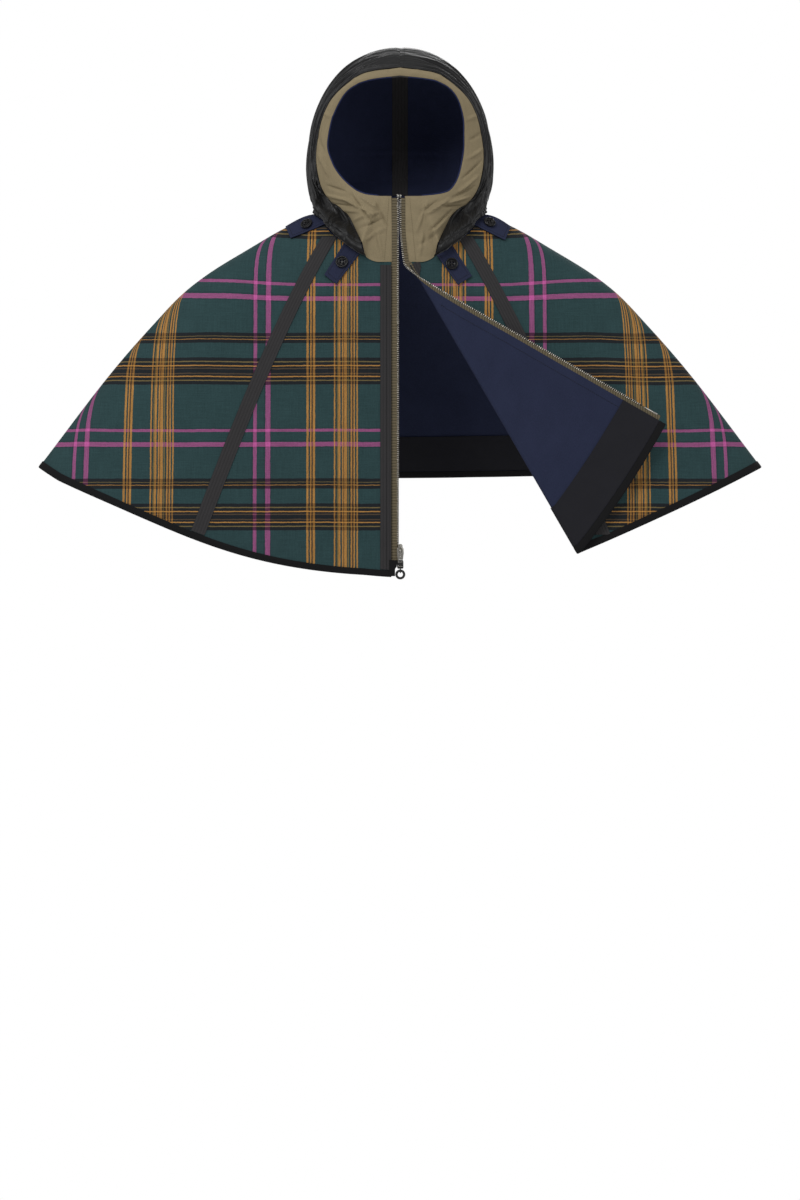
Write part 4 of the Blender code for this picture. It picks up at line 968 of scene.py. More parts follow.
stitch_line("right_strip_stitches", stitch_points, stitch_outs, thread_dark, "grey_tape")


def on_left_front(row, distances):
    """Points and directions out of one row of the left front, at distances from its zip edge."""
    points = left_front_grid[row]
    return along_path(points, points, distances), along_path(points, left_front_normals[row], distances)


# The left strip lies on the check side of the turned-back edge, so it faces the body there
flap_lengths = lengths_along(left_front_grid[:, :FLAP_STEPS], 1)
strip_rows = (left_shares > LEFT_STRIP_START) & (left_shares < BINDING_SHARE)
left_strip = []
left_strip_normals = []
for i in np.flatnonzero(strip_rows):
    narrow = min(STRIP_WIDTH, LEFT_STRIP_NARROW * flap_lengths[i, -1])
    narrowed = ease((left_shares[i] - LEFT_STRIP_NARROW_FROM) / LEFT_STRIP_NARROW_OVER)
    width = mix(STRIP_WIDTH, narrow, narrowed)
    points, outs = on_left_front(i, np.linspace(0, width, LEFT_STRIP_ACROSS))
    left_strip.append(points)
    left_strip_normals.append(unit(outs))
left_strip_normals = np.array(left_strip_normals)
left_strip = np.array(left_strip) + left_strip_normals * TRIM_LIFT
sew_sheet("left_facing_strip", left_strip, left_strip_normals, TRIM_WALL, (grey_tape,),
          ("grey_tape", "facing_strip_left"))


# Hem facing and binding. A band of charcoal twill lines the hem inside, and a narrow black twill binding,
# folded over the raw hem from outside to inside, runs on round all five panels to the corner of the
# turned-back front.
BINDING_WALL = 0.9 * MM
BINDING_PUFF = 0.2 * MM
BINDING_FOLD_STEPS = 7
FACING_END = 0.8 * MM
FACING_END_SHARE = 0.001
HEM_ROWS = 14
HEM_CHARCOAL = (36, 36, 40)
BINDING_BLACK = (26, 26, 27)
hem_twill = cloth_material("hem_twill", HEM_CHARCOAL, 1.8 * MM, 0.25, 0.3, 0.2, 0.25 * MM)
binding_twill = cloth_material("binding_twill", BINDING_BLACK, 1.6 * MM, 0.3, 0.3, 0.2, 0.25 * MM)
hem_edges = {}
for node, (angle_of, shares, foot) in hem_lines.items():
    heights = foot + np.linspace(FACING_WIDTH, BINDING_WIDTH + FACING_END, HEM_ROWS)[:, None]
    angles = angle_of(shares, heights)
    sew_sheet("hem_lining_" + node, on_body(angles, heights, -TRIM_LIFT), body_normal(angles, heights),
              TRIM_WALL, (hem_twill,), ("black_binding", "hem_facing_" + node))
    edge_heights = np.stack((foot + BINDING_WIDTH, foot))
    edge_angles = angle_of(shares, edge_heights)
    hem_edges[node] = (on_body(edge_angles, edge_heights), body_normal(edge_angles, edge_heights))


def left_front_band(shares):
    """Rows of the left front at shares down it, with their normals."""
    at = smooth_curve(left_shares, left_front_grid)(shares)
    return at, unit(smooth_curve(left_shares, left_front_normals)(shares))


band_shares = np.linspace(FACING_SHARE, BINDING_SHARE - FACING_END_SHARE, HEM_ROWS)
band, band_normals = left_front_band(band_shares)
sew_sheet("hem_lining_front_left", band - band_normals * TRIM_LIFT, band_normals, TRIM_WALL, (hem_twill,),
          ("black_binding", "hem_facing_front_left"))

hem_edges["front_left"] = left_front_band(np.array((BINDING_SHARE, 1.0)))
around_hem = [hem_edges[node] for node in ("front_left", "side_left", "back", "side_right", "front_right")]
hem = np.concatenate([edge for edge, _ in around_hem], axis=1)
hem_normals = np.concatenate([normals for _, normals in around_hem], axis=1)
apart = np.concatenate(([True], np.linalg.norm(np.diff(hem[1], axis=0), axis=1) > 1 * MM))
upper, lower = hem[:, apart]
upper_out, lower_out = hem_normals[:, apart]
down = unit(lower - upper)
near = BODY_WALL / 2 + SEAM_GAP + BINDING_WALL / 2
middle = mix(upper, lower, 0.5)
puffed = unit(upper_out + lower_out) * (near + BINDING_PUFF)
binding = [upper + upper_out * near, middle + puffed]
for turn in np.linspace(0, pi, BINDING_FOLD_STEPS):
    binding.append(lower + lower_out * near * np.cos(turn) + down * near * np.sin(turn))
binding += [middle - puffed, upper - upper_out * near]
binding_grid = np.array(binding)
sew_sheet("hem_binding_strip", binding_grid, grid_normals(binding_grid), BINDING_WALL, (binding_twill,),
          ("black_binding", "hem_binding"))


# Zip. Two olive cotton tapes carry satin nickel teeth. The right tape hangs straight beside the right front,
# and the left one follows the throat and then the edge of the turned-back front, to an insert pin at its
# corner.
THROAT_ZIP = ((30, -1.2), (-20, -1.0), (-55, 1.6), (-81, 5.0))
THROAT_TOP = 28 * MM
THROAT_DEPTH = 107 * MM
ZIP_TOP = 25 * MM
THROAT_FOOT = -76 * MM
TEETH_OUTER = 1.6 * MM
TEETH_INNER = 5.0 * MM
TEETH_FOOT = -531 * MM
TAPE_END = -560 * MM
ZIP_TAPE_WALL = 1.2 * MM
ZIP_OLIVE = (94, 86, 69)
TOOTH_PITCH = 3.3 * MM
TOOTH_SIZE = np.array((3.4, 3.0, 1.5)) * MM
TOOTH_BEVEL = 0.5 * MM
TOOTH_LINE = 0.48
PIN_SHARES = (0.912, 0.955)
END_GAP_SHARE = 0.005
PIN_SECTION = (2.6 * MM, 3.2 * MM)
STOP_SIZE = (3.2 * MM, 3.0 * MM, 5.0 * MM)
STOP_RISE = 3.0 * MM
BLOCK_BEVEL = 0.8 * MM
CORD_RADIUS = 1.1 * MM
CORD_SIDES = 8
CORD_BROWN = (50, 44, 35)
THROAT_ROWS = 40
BODY_ZIP_TOP = -92 * MM
BODY_ZIP_ROWS = 110
FLAP_STITCH_INSET = 14 * MM
FLAP_STITCH_START = 0.16
# The zip tapes' ribs across them carry strong painted shade in the grooves and painted light on the ribs'
# tops.
zip_cotton = ribbed_material("zip_cotton", ZIP_OLIVE, 1.4 * TOOTH_PITCH, 1.5, direction=1)
left_teeth_x = smooth_curve([z * MM for z, _ in THROAT_ZIP], [x * MM for _, x in THROAT_ZIP])


def metal_material(name, shade, roughness, unevenness, grain=350.0, wear_and_glint_contrast=0.4):
    """A satin metal with fine uneven wear in its gloss and tone; a strong contrast turns the tone's speckle
    into painted glints and painted shade, as on the zip teeth.
    """
    material, tree, shader = new_material(name)
    place = add_node(tree, "ShaderNodeTexCoord").outputs["Object"]
    wear = place_group(tree, uneven, {"Place": place, "Scale": grain, "Detail": 4.0}).outputs["Cloud"]
    gloss = math_node(tree, "MULTIPLY_ADD", math_node(tree, "SUBTRACT", wear, 0.5), unevenness, roughness)
    tone = math_node(tree, "MULTIPLY_ADD", wear, wear_and_glint_contrast, 1 - wear_and_glint_contrast / 2)
    toned = add_node(tree, "ShaderNodeVectorMath", {0: colour(shade)[:3], "Scale": tone}, operation="SCALE")
    set_inputs(tree, shader, {"Base Color": toned.outputs[0], "Roughness": gloss, "Metallic": 1.0})
    return material


satin_nickel = metal_material("satin_nickel", (172, 169, 162), 0.24, 0.2)
# The teeth's tone varies far more than wear would: its bright specks are painted glints and its dark specks
# painted shade.
tooth_nickel = metal_material("tooth_nickel", (164, 160, 152), 0.34, 0.2, grain=420.0, wear_and_glint_contrast=3.6)


def throat_depth(z):
    return mix(THROAT_DEPTH, front_depth(NECK_FRONT), (THROAT_TOP - z) / (THROAT_TOP - NECK_FRONT))


def zip_point(x, z):
    """A point on the flat throat above the neck edge, or on the body below it."""
    on_front = on_body(angle_at(x, z), z)
    in_throat = np.stack((x + 0 * z, -throat_depth(z) + 0 * x, z + 0 * x), axis=-1)
    return np.where((z > NECK_FRONT)[..., None], in_throat, on_front)


throat_heights = np.linspace(ZIP_TOP, THROAT_FOOT, THROAT_ROWS)


def right_zip_grid(xs, foot):
    heights = np.concatenate((throat_heights, np.linspace(BODY_ZIP_TOP, foot, BODY_ZIP_ROWS)))
    return zip_point(-np.array(xs) + 0 * heights[:, None], heights[:, None] + 0 * np.array(xs))


# The tapes' outer edges are tucked under the cloth beside them
TUCK_COLUMNS = (20.0 * MM, 14.6 * MM, 12.6 * MM, 9.0 * MM, TEETH_INNER + 0.6 * MM, TEETH_OUTER + 0.9 * MM)
TUCK_LIFT = np.array((-3.2, -3.0, -1.0, -0.2, 0.0, 0.0)) * MM
LEFT_TUCK = 4 * MM
LEFT_TUCK_LIFT = 2.6 * MM
right_tape = right_zip_grid(TUCK_COLUMNS, TAPE_END)
right_tape = right_tape + grid_normals(right_tape) * TUCK_LIFT[None, :, None]
sew_sheet("right_zip_cotton", right_tape, grid_normals(right_tape), ZIP_TAPE_WALL, (zip_cotton,),
          ("zip_tape", "zip_tape_right"))

throat_reach = np.array((ZIP_WIDTH + LEFT_TUCK, ZIP_WIDTH, TEETH_WIDTH + SEAM_GAP, 0))
throat_xs = left_teeth_x(throat_heights)[:, None] + throat_reach
throat_zip = zip_point(throat_xs, throat_heights[:, None] + 0 * throat_xs)
left_zip_all = np.concatenate((throat_zip, left_zip_grid[left_shares < BINDING_SHARE]))[:, ::-1]
left_zip_normals = grid_normals(left_zip_all)
left_tape = left_zip_all[:, 1:].copy()
left_tape[:, 0] = mix(left_zip_all[:, 0], left_zip_all[:, 1], 0.3)
left_tape[:, 2] += left_zip_normals[:, 3] * LEFT_TUCK_LIFT
left_tape[:THROAT_ROWS, 2] -= left_zip_normals[:THROAT_ROWS, 3] * 2 * LEFT_TUCK_LIFT
sew_sheet("left_zip_cotton", left_tape, grid_normals(left_tape), ZIP_TAPE_WALL, (zip_cotton,),
          ("zip_tape", "zip_tape_left"))


def bevelled_block(size, bevel):
    """Corners and faces of a small block with rounded edges."""
    shape = bmesh.new()
    bmesh.ops.create_cube(shape, size=1.0)
    bmesh.ops.scale(shape, vec=Vector(size), verts=shape.verts)
    bmesh.ops.bevel(shape, geom=shape.edges[:], offset=bevel, segments=2, affect="EDGES", profile=0.5)
    shape.verts.ensure_lookup_table()
    form = np.array([vertex.co[:] for vertex in shape.verts])
    faces = [[vertex.index for vertex in face.verts] for face in shape.faces]
    shape.free()
    return form, faces


def zip_chain(name, node, line, across, normals, first):
    """Teeth at an even pitch along one side of the zip, each clamped on the tape's edge."""
    spots = np.arange(first, path_length(line) - TOOTH_PITCH / 2, TOOTH_PITCH)
    middles = along_path(line, line, spots)
    outs = unit(along_path(line, normals, spots))
    sides = along_path(line, across, spots)
    sides = unit(sides - outs * np.sum(sides * outs, axis=1, keepdims=True))
    form, faces = bevelled_block(TOOTH_SIZE, TOOTH_BEVEL)
    obj = stamp(name, form, faces, middles, sides, outs, np.cross(sides, outs), tooth_nickel)
    sew_on(obj, "zip_metal", node)


def round_cord(name, middle, inward, radius, material, slot):
    """A thin round cord along a line, with one direction across it at each point."""
    along = unit(np.gradient(middle, axis=0))
    out = unit(np.cross(inward, along))
    around = 2 * pi * np.arange(CORD_SIDES + 1) / CORD_SIDES
    around = around[:, None, None]
    grid = middle[None] + radius * (np.cos(around) * np.cross(along, out)[None] + np.sin(around) * out[None])
    place = np.arange(CORD_SIDES * len(middle)).reshape(CORD_SIDES, -1)
    faces = tube_faces(place.T) + [place[:, 0].tolist(), place[::-1, -1].tolist()]
    mesh = smooth_mesh(name, grid[:CORD_SIDES], faces)
    metres = np.stack((lengths_along(grid, 0), lengths_along(grid, 1)), axis=-1)[:CORD_SIDES]
    set_cloth_metres(mesh, metres.reshape(-1, 2))
    return sew_on(link_mesh(name, mesh, material), slot)


cord_cotton = cloth_material("cord_cotton", CORD_BROWN, 1.0 * MM, 0.3, 0.3, 0.2, 0.2 * MM)
right_teeth = right_zip_grid((TEETH_INNER, TEETH_OUTER), TEETH_FOOT)
right_line = right_teeth.mean(axis=1)
right_across = right_teeth[:, 1] - right_teeth[:, 0]
zip_chain("right_teeth", "zip_teeth_right", right_line, right_across, grid_normals(right_teeth)[:, 0],
          TOOTH_PITCH * 0.5)
chain_rows = slice(0, int((left_shares < PIN_SHARES[0] - END_GAP_SHARE).sum()) + THROAT_ROWS)
left_line = mix(left_zip_all[:, 0], left_zip_all[:, 1], TOOTH_LINE)
left_across = left_zip_all[:, 0] - left_zip_all[:, 1]
zip_chain("left_teeth", "zip_teeth_left", left_line[chain_rows], left_across[chain_rows],
          left_zip_normals[chain_rows, 0], TOOTH_PITCH)
right_cord = round_cord("right_zip_cord", right_line, right_across, CORD_RADIUS, cord_cotton, "zip_tape")
left_cord = round_cord("left_zip_cord", left_line[chain_rows], left_across[chain_rows], CORD_RADIUS,
                       cord_cotton, "zip_tape")

pin_rows = left_shares.searchsorted(PIN_SHARES) + THROAT_ROWS
pin_line = left_line[pin_rows]
pin_along = pin_line[1] - pin_line[0]
pin_out = left_zip_normals[pin_rows[0], 0]
pin_side = np.cross(pin_out, unit(pin_along))
pin_form, pin_faces = bevelled_block((*PIN_SECTION, np.linalg.norm(pin_along)), BLOCK_BEVEL)
obj = stamp("insert_pin", pin_form, pin_faces, pin_line.mean(axis=0)[None], pin_side[None], pin_out[None],
            unit(pin_along)[None], satin_nickel)
sew_on(obj, "zip_metal", "zip_pin")


def stamp_facing_front(name, size, bevel, places):
    """Small bright blocks on the zip that face the front."""
    form, faces = bevelled_block(size, bevel)
    axes = ((-1.0, 0, 0), (0, -1.0, 0), (0, 0, 1.0))
    sides, outs, alongs = (np.tile(axis, (len(places), 1)) for axis in axes)
    sew_on(stamp(name, form, faces, places, sides, outs, alongs, satin_nickel), "zip_metal")


stop_places = np.stack((right_line[0], left_line[0])) + np.array((0, 0, STOP_RISE))
stamp_facing_front("zip_top_stops", STOP_SIZE, BLOCK_BEVEL, stop_places)

inset_rows = np.flatnonzero((left_shares > FLAP_STITCH_START) & (left_shares < BINDING_SHARE - END_GAP_SHARE))
inset_spots = [on_left_front(i, np.array([FLAP_STITCH_INSET])) for i in inset_rows]
stitch_points = np.array([points[0] for points, _ in inset_spots])
stitch_outs = -np.array([outs[0] for _, outs in inset_spots])
stitch_points = stitch_points + stitch_outs * BODY_WALL / 2
stitch_line("flap_stitches", stitch_points, stitch_outs, thread_dark, "navy_wool")


# Padded roll round the neck. A soft black nylon tube with a little filling, sewn into the hood's neck seam.
# The hood's nylon is drawn down over it, so that it shows only from below.
NECK_ROLL_FRONT = 14
NECK_ROLL_RISE = 6 * MM
NECK_ROLL_HALF_THICK = 8 * MM
NECK_ROLL_CLEARANCE = 1.0 * MM
NECK_ROLL_MEETING = 40
ROLL_UNDER_NYLON = 0.88
NECK_RAISE = 8 * MM
NECK_RAISE_END = 60
ROLL_COVER_HALF_WIDTH = 8 * MM
ROLL_STATIONS = 300
ROLL_RING = 20
ROLL_SWELL = 0.03
ROLL_SWELL_WAVES = (61, 23)
ROLL_FLAT_RADIUS = 9.5 * MM
ROLL_FLAT_LENGTH = 0.7
NYLON_BLACK = (14, 14, 15)


def nylon_material(name, shade, stretch, wrinkle):
    """Thin black nylon: a low sheen, and small crinkles that run mostly one way over the cloth."""
    material, tree, shader = new_material(name)
    cloth = add_node(tree, "ShaderNodeUVMap", uv_map="cloth").outputs[0]
    run = add_node(tree, "ShaderNodeMapping", {0: cloth, "Scale": stretch}).outputs[0]
    crinkle = add_node(tree, "ShaderNodeTexNoise", {
        "Vector": run, "Scale": 1.0, "Detail": 2.0, "Roughness": 0.45, "Distortion": 1.6}).outputs[0]
    woven = place_group(tree, weave, {
        "Cloth": cloth, "Colour": colour(shade), "Twill": 0.8 * MM, "Lines": 0.1, "Fibres": 0.3,
        "Mottle": 0.5})
    gloss = math_node(tree, "MULTIPLY_ADD", crinkle, 0.2, 0.34)
    relief = add_node(tree, "ShaderNodeBump", {"Height": crinkle, "Distance": wrinkle, "Strength": 0.8})
    set_inputs(tree, shader, {
        "Base Color": woven.outputs["Colour"], "Roughness": gloss, "Normal": relief.outputs[0],
        "Specular IOR Level": 0.25, "Sheen Weight": 0.14, "Sheen Roughness": 0.35})
    return material


black_nylon = nylon_material("black_nylon", NYLON_BLACK, (46, 11, 1), 4.6 * MM)


def neck_roll_frame(angle):
    from_front = np.abs((angle + 180) % 360 - 180)
    slope_share = np.clip((from_front - NECK_ROLL_FRONT) / (NECK_RAISE_END - NECK_ROLL_FRONT), 0, 1)
    height = hood_edge(angle) + NECK_ROLL_RISE + NECK_RAISE * np.sin(pi * slope_share)
    out = body_normal(angle, height)
    up = unit(np.array((0, 0, 1)) - out * out[..., 2:])
    centre = body_point(angle, height) + out * (BODY_WALL / 2 + NECK_ROLL_CLEARANCE + NECK_ROLL_HALF_THICK)
    return centre, out, up


def roll_cover(angle, turn):
    """Cloth on the roll, at a turn round it from its top towards its outer side."""
    centre, out, up = neck_roll_frame(angle)
    clear = 5 * SEAM_GAP
    cover_up = (ROLL_COVER_HALF_WIDTH + clear) * np.cos(turn)
    cover_out = (NECK_ROLL_HALF_THICK + clear) * np.sin(turn)
    return centre + up * np.asarray(cover_up)[..., None] + out * np.asarray(cover_out)[..., None]


roll_share = np.linspace(0, 1, ROLL_STATIONS)
roll_angles = mix(NECK_ROLL_FRONT, 360 - NECK_ROLL_FRONT, roll_share)
centre, out, up = neck_roll_frame(roll_angles)
end_size = ease((np.minimum(roll_share, 1 - roll_share) + 0.004) / 0.02)
around = turns(ROLL_RING)
short_wave, long_wave = ROLL_SWELL_WAVES
swell = ROLL_SWELL * np.sin(roll_share * short_wave) * np.sin(roll_share * long_wave + 1)
size = (ROLL_UNDER_NYLON * end_size * (1 + swell))[:, None]
ring_up = (ROLL_COVER_HALF_WIDTH * size * np.cos(around))[..., None]
ring_out = (NECK_ROLL_HALF_THICK * size * np.sin(around))[..., None]
roll_grid = centre[:, None] + up[:, None] * ring_up + out[:, None] * ring_out
place = np.arange(ROLL_STATIONS * ROLL_RING).reshape(ROLL_STATIONS, ROLL_RING)
roll_faces = tube_faces(place) + [place[0, ::-1].tolist(), place[-1].tolist()]
roll_mesh = smooth_mesh("neck_roll", roll_grid, roll_faces)
flat_across = np.tile(around * ROLL_FLAT_RADIUS, (ROLL_STATIONS, 1))
flat_along = roll_share[:, None] * ROLL_FLAT_LENGTH + 0 * around
set_cloth_metres(roll_mesh, np.stack((flat_across, flat_along), axis=-1).reshape(-1, 2))
neck_roll = link_mesh("neck_roll", roll_mesh, black_nylon)
sew_on(neck_roll, "black_nylon", "hood_roll")


# Hood shell. Two halves of thin black nylon, joined by a seam over the crown and down to the nape and drawn
# down over the neck roll. Long uneven wrinkles run beside the face edge, and short gathers rise from the
# neck edge.
KHAKI_COLUMNS = ("inner_x", "inner_z", "inner_depth", "outer_x", "outer_z", "outer_depth")
KHAKI_STATIONS = np.array((
    (0, 221, 90, 0, 234, 80),
    (45, 215, 88, 54, 226, 77),
    (75, 200, 82, 90, 203, 70),
    (96, 174, 76, 114, 176, 61),
    (107, 142, 70, 128, 138, 53),
    (110, 110, 67, 134, 91, 48),
    (104, 80, 69, 128, 50, 50),
    (88, 53, 77, 110, 18, 60),
    (67, 35, 90, 83, -2, 80),
    (48, 30, 98, 70, -27, 96),
)) * MM
KHAKI_WIDEST = 5
KHAKI_CORNER = (35, 103)
RIB_COLUMNS = ("crown_depth", "crown_z", "half_width", "wide_depth", "wide_z", "neck_angle")
HOOD_RIBS = np.array((
    (52, 254, 143, 25, 80, 55),
    (12, 267, 147, -2, 75, 88),
    (-42, 254, 140, -36, 68, 112),
    (-92, 204, 117, -68, 58, 132),
    (-124, 132, 80, -98, 48, 150),
    (-124, 82, 38, -116, 52, 166),
    (-112, 54, 0, -111, 48, 180),
))
RIB_FULLNESS = 2.15
CROWN_STEPS = 80
CHEEK_STEPS = 44
WRAP_STEPS = 20
WRAP_END = 188
WRAP_LEAN = 2.2
NYLON_EARLY = 8
NYLON_WALL = 1.6 * MM
EDGE_CLEARANCE = 2.2 * MM
SEAM_OVERLAP = 0.4 * MM
WRINKLE_RISE = 0.3
WRINKLE_SWAY = 0.05
WRINKLE_SWAY_WAVE = 9
WRINKLE_SWAY_STEP = 5
WRINKLE_COLUMNS = ("station", "lean", "start", "end", "half_width", "height")
LEFT_WRINKLES = (
    (0.12, 0.10, 0.64, 1.16, 0.050, 2.4),
    (0.28, 0.12, 0.62, 1.00, 0.060, -2.6),
    (0.50, 0.14, 0.60, 1.16, 0.060, 2.8),
    (0.66, 0.16, 0.66, 1.00, 0.060, -2.6),
    (0.86, 0.18, 0.70, 1.14, 0.070, 2.6),
    (0.16, 0.10, 0.06, 0.40, 0.050, 1.7),
    (0.22, -0.16, 0.42, 0.84, 0.055, 1.8),
    (0.34, 0.22, 0.02, 0.30, 0.060, -1.8),
    (0.40, 0.14, 0.24, 0.66, 0.050, 2.0),
    (0.46, -0.20, 0.60, 0.98, 0.060, -2.0),
    (0.55, 0.24, 0.08, 0.46, 0.055, 1.8),
    (0.64, -0.12, 0.38, 0.78, 0.065, 2.2),
    (0.70, 0.20, 0.66, 1.04, 0.060, 2.1),
    (0.78, -0.22, 0.04, 0.36, 0.070, -2.1),
    (0.90, 0.16, 0.28, 0.72, 0.070, 2.2),
    (0.98, -0.28, 0.62, 1.02, 0.075, -2.2),
    (1.10, 0.26, 0.06, 0.44, 0.080, 2.1),
    (1.22, -0.20, 0.36, 0.86, 0.085, 2.5),
    (1.40, 0.30, 0.60, 1.06, 0.090, -2.4),
    (1.55, -0.24, 0.14, 0.60, 0.100, 2.4),
    (1.78, 0.28, 0.48, 1.02, 0.110, 2.8),
    (2.05, -0.30, 0.20, 0.80, 0.130, -2.7),
    (2.45, 0.36, 0.52, 1.04, 0.140, 3.2),
    (2.90, -0.40, 0.24, 0.86, 0.150, 2.8),
    (3.40, 0.30, 0.50, 1.04, 0.170, -3.3),
    (4.05, -0.36, 0.30, 0.92, 0.190, 3.4),
    (4.70, 0.34, 0.46, 1.04, 0.200, -3.0),
    (5.40, -0.20, 0.26, 0.90, 0.220, 2.8),
)
RIGHT_WRINKLES = (
    (0.18, 0.12, 0.62, 1.14, 0.055, 2.6),
    (0.36, 0.10, 0.66, 1.00, 0.060, -2.6),
    (0.56, 0.16, 0.64, 1.16, 0.060, 2.6),
    (0.74, 0.14, 0.60, 1.00, 0.065, -2.8),
    (0.92, 0.20, 0.72, 1.12, 0.070, 2.6),
    (0.14, 0.12, 0.10, 0.46, 0.050, 1.8),
    (0.26, -0.14, 0.38, 0.80, 0.055, -1.8),
    (0.30, 0.26, 0.00, 0.26, 0.060, 1.8),
    (0.42, 0.12, 0.30, 0.74, 0.055, 2.0),
    (0.50, -0.26, 0.64, 1.02, 0.060, 2.1),
    (0.58, 0.22, 0.04, 0.40, 0.055, -1.8),
    (0.68, -0.14, 0.44, 0.84, 0.065, 2.2),
    (0.74, 0.26, 0.12, 0.50, 0.060, 2.0),
    (0.84, -0.20, 0.56, 0.98, 0.070, -2.2),
    (0.95, 0.18, 0.20, 0.62, 0.070, 2.1),
    (1.04, -0.30, 0.68, 1.06, 0.075, 2.4),
    (1.16, 0.24, 0.04, 0.50, 0.080, -2.1),
    (1.32, -0.22, 0.40, 0.92, 0.090, 2.7),
    (1.50, 0.32, 0.56, 1.04, 0.095, -2.4),
    (1.68, -0.22, 0.10, 0.66, 0.110, 2.4),
    (1.95, 0.30, 0.50, 1.04, 0.120, 3.0),
    (2.25, -0.34, 0.24, 0.84, 0.140, -2.7),
    (2.70, 0.38, 0.50, 1.02, 0.150, 3.0),
    (3.15, -0.36, 0.28, 0.90, 0.160, 3.2),
    (3.75, 0.30, 0.46, 1.04, 0.180, -3.3),
    (4.40, -0.34, 0.34, 0.96, 0.200, 3.3),
    (5.10, 0.26, 0.28, 0.94, 0.220, -2.8),
)
GATHERS_PER_HALF = 90
GATHER_SEEDS = {"left": 3, "right": 5}
GATHER_SHIFTS = (-1.6, 1.6)
GATHER_STARTS = (0.78, 1.02)
GATHER_RISE = 0.12
GATHER_SLANTS = (-14, 22)
GATHER_SLANT_SHARE = 1.1
GATHER_WIDTHS = (0.6, 1.2)
GATHER_SIGNS = (-1, 1, 1)
GATHER_HEIGHTS = (0.7, 1.8)
GATHER_FRONT_SHARE = 0.25
GATHER_FRONT_ANGLES = (35, 65)
CROWN_DIP = 1.1 * MM
CROWN_DIP_NARROW = 120
EDGE_DIP = 1.6 * MM
EDGE_DIP_SHARE = 1.02
EDGE_DIP_WIDTH = 0.016
EDGE_RIDGE = 1.5 * MM
EDGE_RIDGE_SHARES = (0.955, 1.095)
EDGE_RIDGE_WIDTH = 0.03
CROWN_STITCH_ROW = 2
CROWN_STITCH_START = 3
CROWN_STITCH_SUNK = 0.3 * MM
RIB_CURVE_STEPS = 200
shell_stations = np.concatenate((np.linspace(0, 2, 96, endpoint=False), np.linspace(2, 7, 80)))
rib_value = smooth_curve(np.arange(1, len(HOOD_RIBS) + 1), HOOD_RIBS)
neck_angle = smooth_curve(np.arange(len(HOOD_RIBS) + 1), [NECK_ROLL_FRONT] + [row[-1] for row in HOOD_RIBS])


def even_steps(points, steps):
    return along_path(points, points, np.linspace(0, path_length(points), steps + 1))


def band_edge(edge, end, shift=0.0):
    """One edge of the khaki band as a rib: even steps over the crown, then even steps down the cheek."""
    names = [KHAKI_COLUMNS.index(edge + part) for part in ("_x", "_depth", "_z")]
    stations = KHAKI_STATIONS[:, names] * (1, -1, 1)
    stations[:, 0] += shift
    curve = smooth_curve(np.arange(len(stations) + 1), np.concatenate((stations, end[None])))
    crown = even_steps(curve(np.linspace(0, KHAKI_WIDEST, RIB_CURVE_STEPS)), CROWN_STEPS)
    cheek = even_steps(curve(np.linspace(KHAKI_WIDEST, len(stations), RIB_CURVE_STEPS)), CHEEK_STEPS)
    return np.concatenate((crown, cheek[1:]))


front_rib = band_edge("outer", roll_cover(float(NECK_ROLL_FRONT), np.radians(NECK_ROLL_MEETING)))


def rib(station, foot):
    """One rib of the hood's left half, from the crown to a foot at the neck."""
    value = dict(zip(RIB_COLUMNS, rib_value(station) * MM))
    turn = np.linspace(0, pi / 2, CROWN_STEPS + 1)
    across = np.sin(turn) ** (2 / RIB_FULLNESS)
    upright = np.maximum(np.cos(turn), 0) ** (2 / RIB_FULLNESS)
    wide = np.array((value["half_width"], -value["wide_depth"], value["wide_z"]))
    crown = np.stack((wide[0] * across, mix(-value["crown_depth"], wide[1], 1 - np.cos(turn)),
                      mix(wide[2], value["crown_z"], upright)), axis=-1)
    share = np.linspace(0, 1, CHEEK_STEPS + 1)[1:]
    cheek = np.stack((mix(wide[0], foot[0], share ** 2), mix(wide[1], foot[1], share),
                      mix(wide[2], foot[2], share)), axis=-1)
    return np.concatenate((crown, cheek))


def form_foot(station):
    """Where the hood's plain form meets the roll, at its upper outer side."""
    return roll_cover(neck_angle(station), np.radians(NECK_ROLL_MEETING))


def nylon_turn(station):
    """Turn round the roll at which the nylon, coming down, first touches it."""
    centre, out, up = neck_roll_frame(neck_angle(station))
    upright = np.arctan2(up[2], -out[2]) - np.radians(NYLON_EARLY)
    return mix(np.radians(NECK_ROLL_MEETING), upright, ease(station / 0.6))


def nylon_foot(station):
    return roll_cover(neck_angle(station), nylon_turn(station))


def hood_column(station, foot_of):
    foot = foot_of(station)
    if station >= 1:
        return rib(station, foot)
    made = mix(front_rib, rib(1.0, foot_of(1.0)), ease(station) * 0.5 + station * 0.5)
    if station > 0:
        ending = ease((np.arange(len(made)) - len(made) + 1) * 4 / CHEEK_STEPS + 1)[:, None]
        made = made + (foot - made[-1]) * ending
    return made


def nylon_column(station):
    """One rib of the nylon: over the crown, down the cheek and round the roll."""
    share = np.linspace(0, 1, WRAP_STEPS + 1)[1:]
    wrap = mix(nylon_turn(station), np.radians(WRAP_END), share)
    angles = neck_angle(station) - WRAP_LEAN * share * (1 - ease(station / 0.5))
    return np.concatenate((hood_column(station, nylon_foot), roll_cover(angles, wrap)))


def hood_normals(grid):
    """Directions out of the hood, turned straight back where the halves meet at the crown and the nape."""
    normals = grid_normals(grid)
    normals[0, :, 0] = 0
    normals[:, -1] = normals[:, -3] * (0, 1, 1) + (0, 0.01, 0)
    return unit(normals)


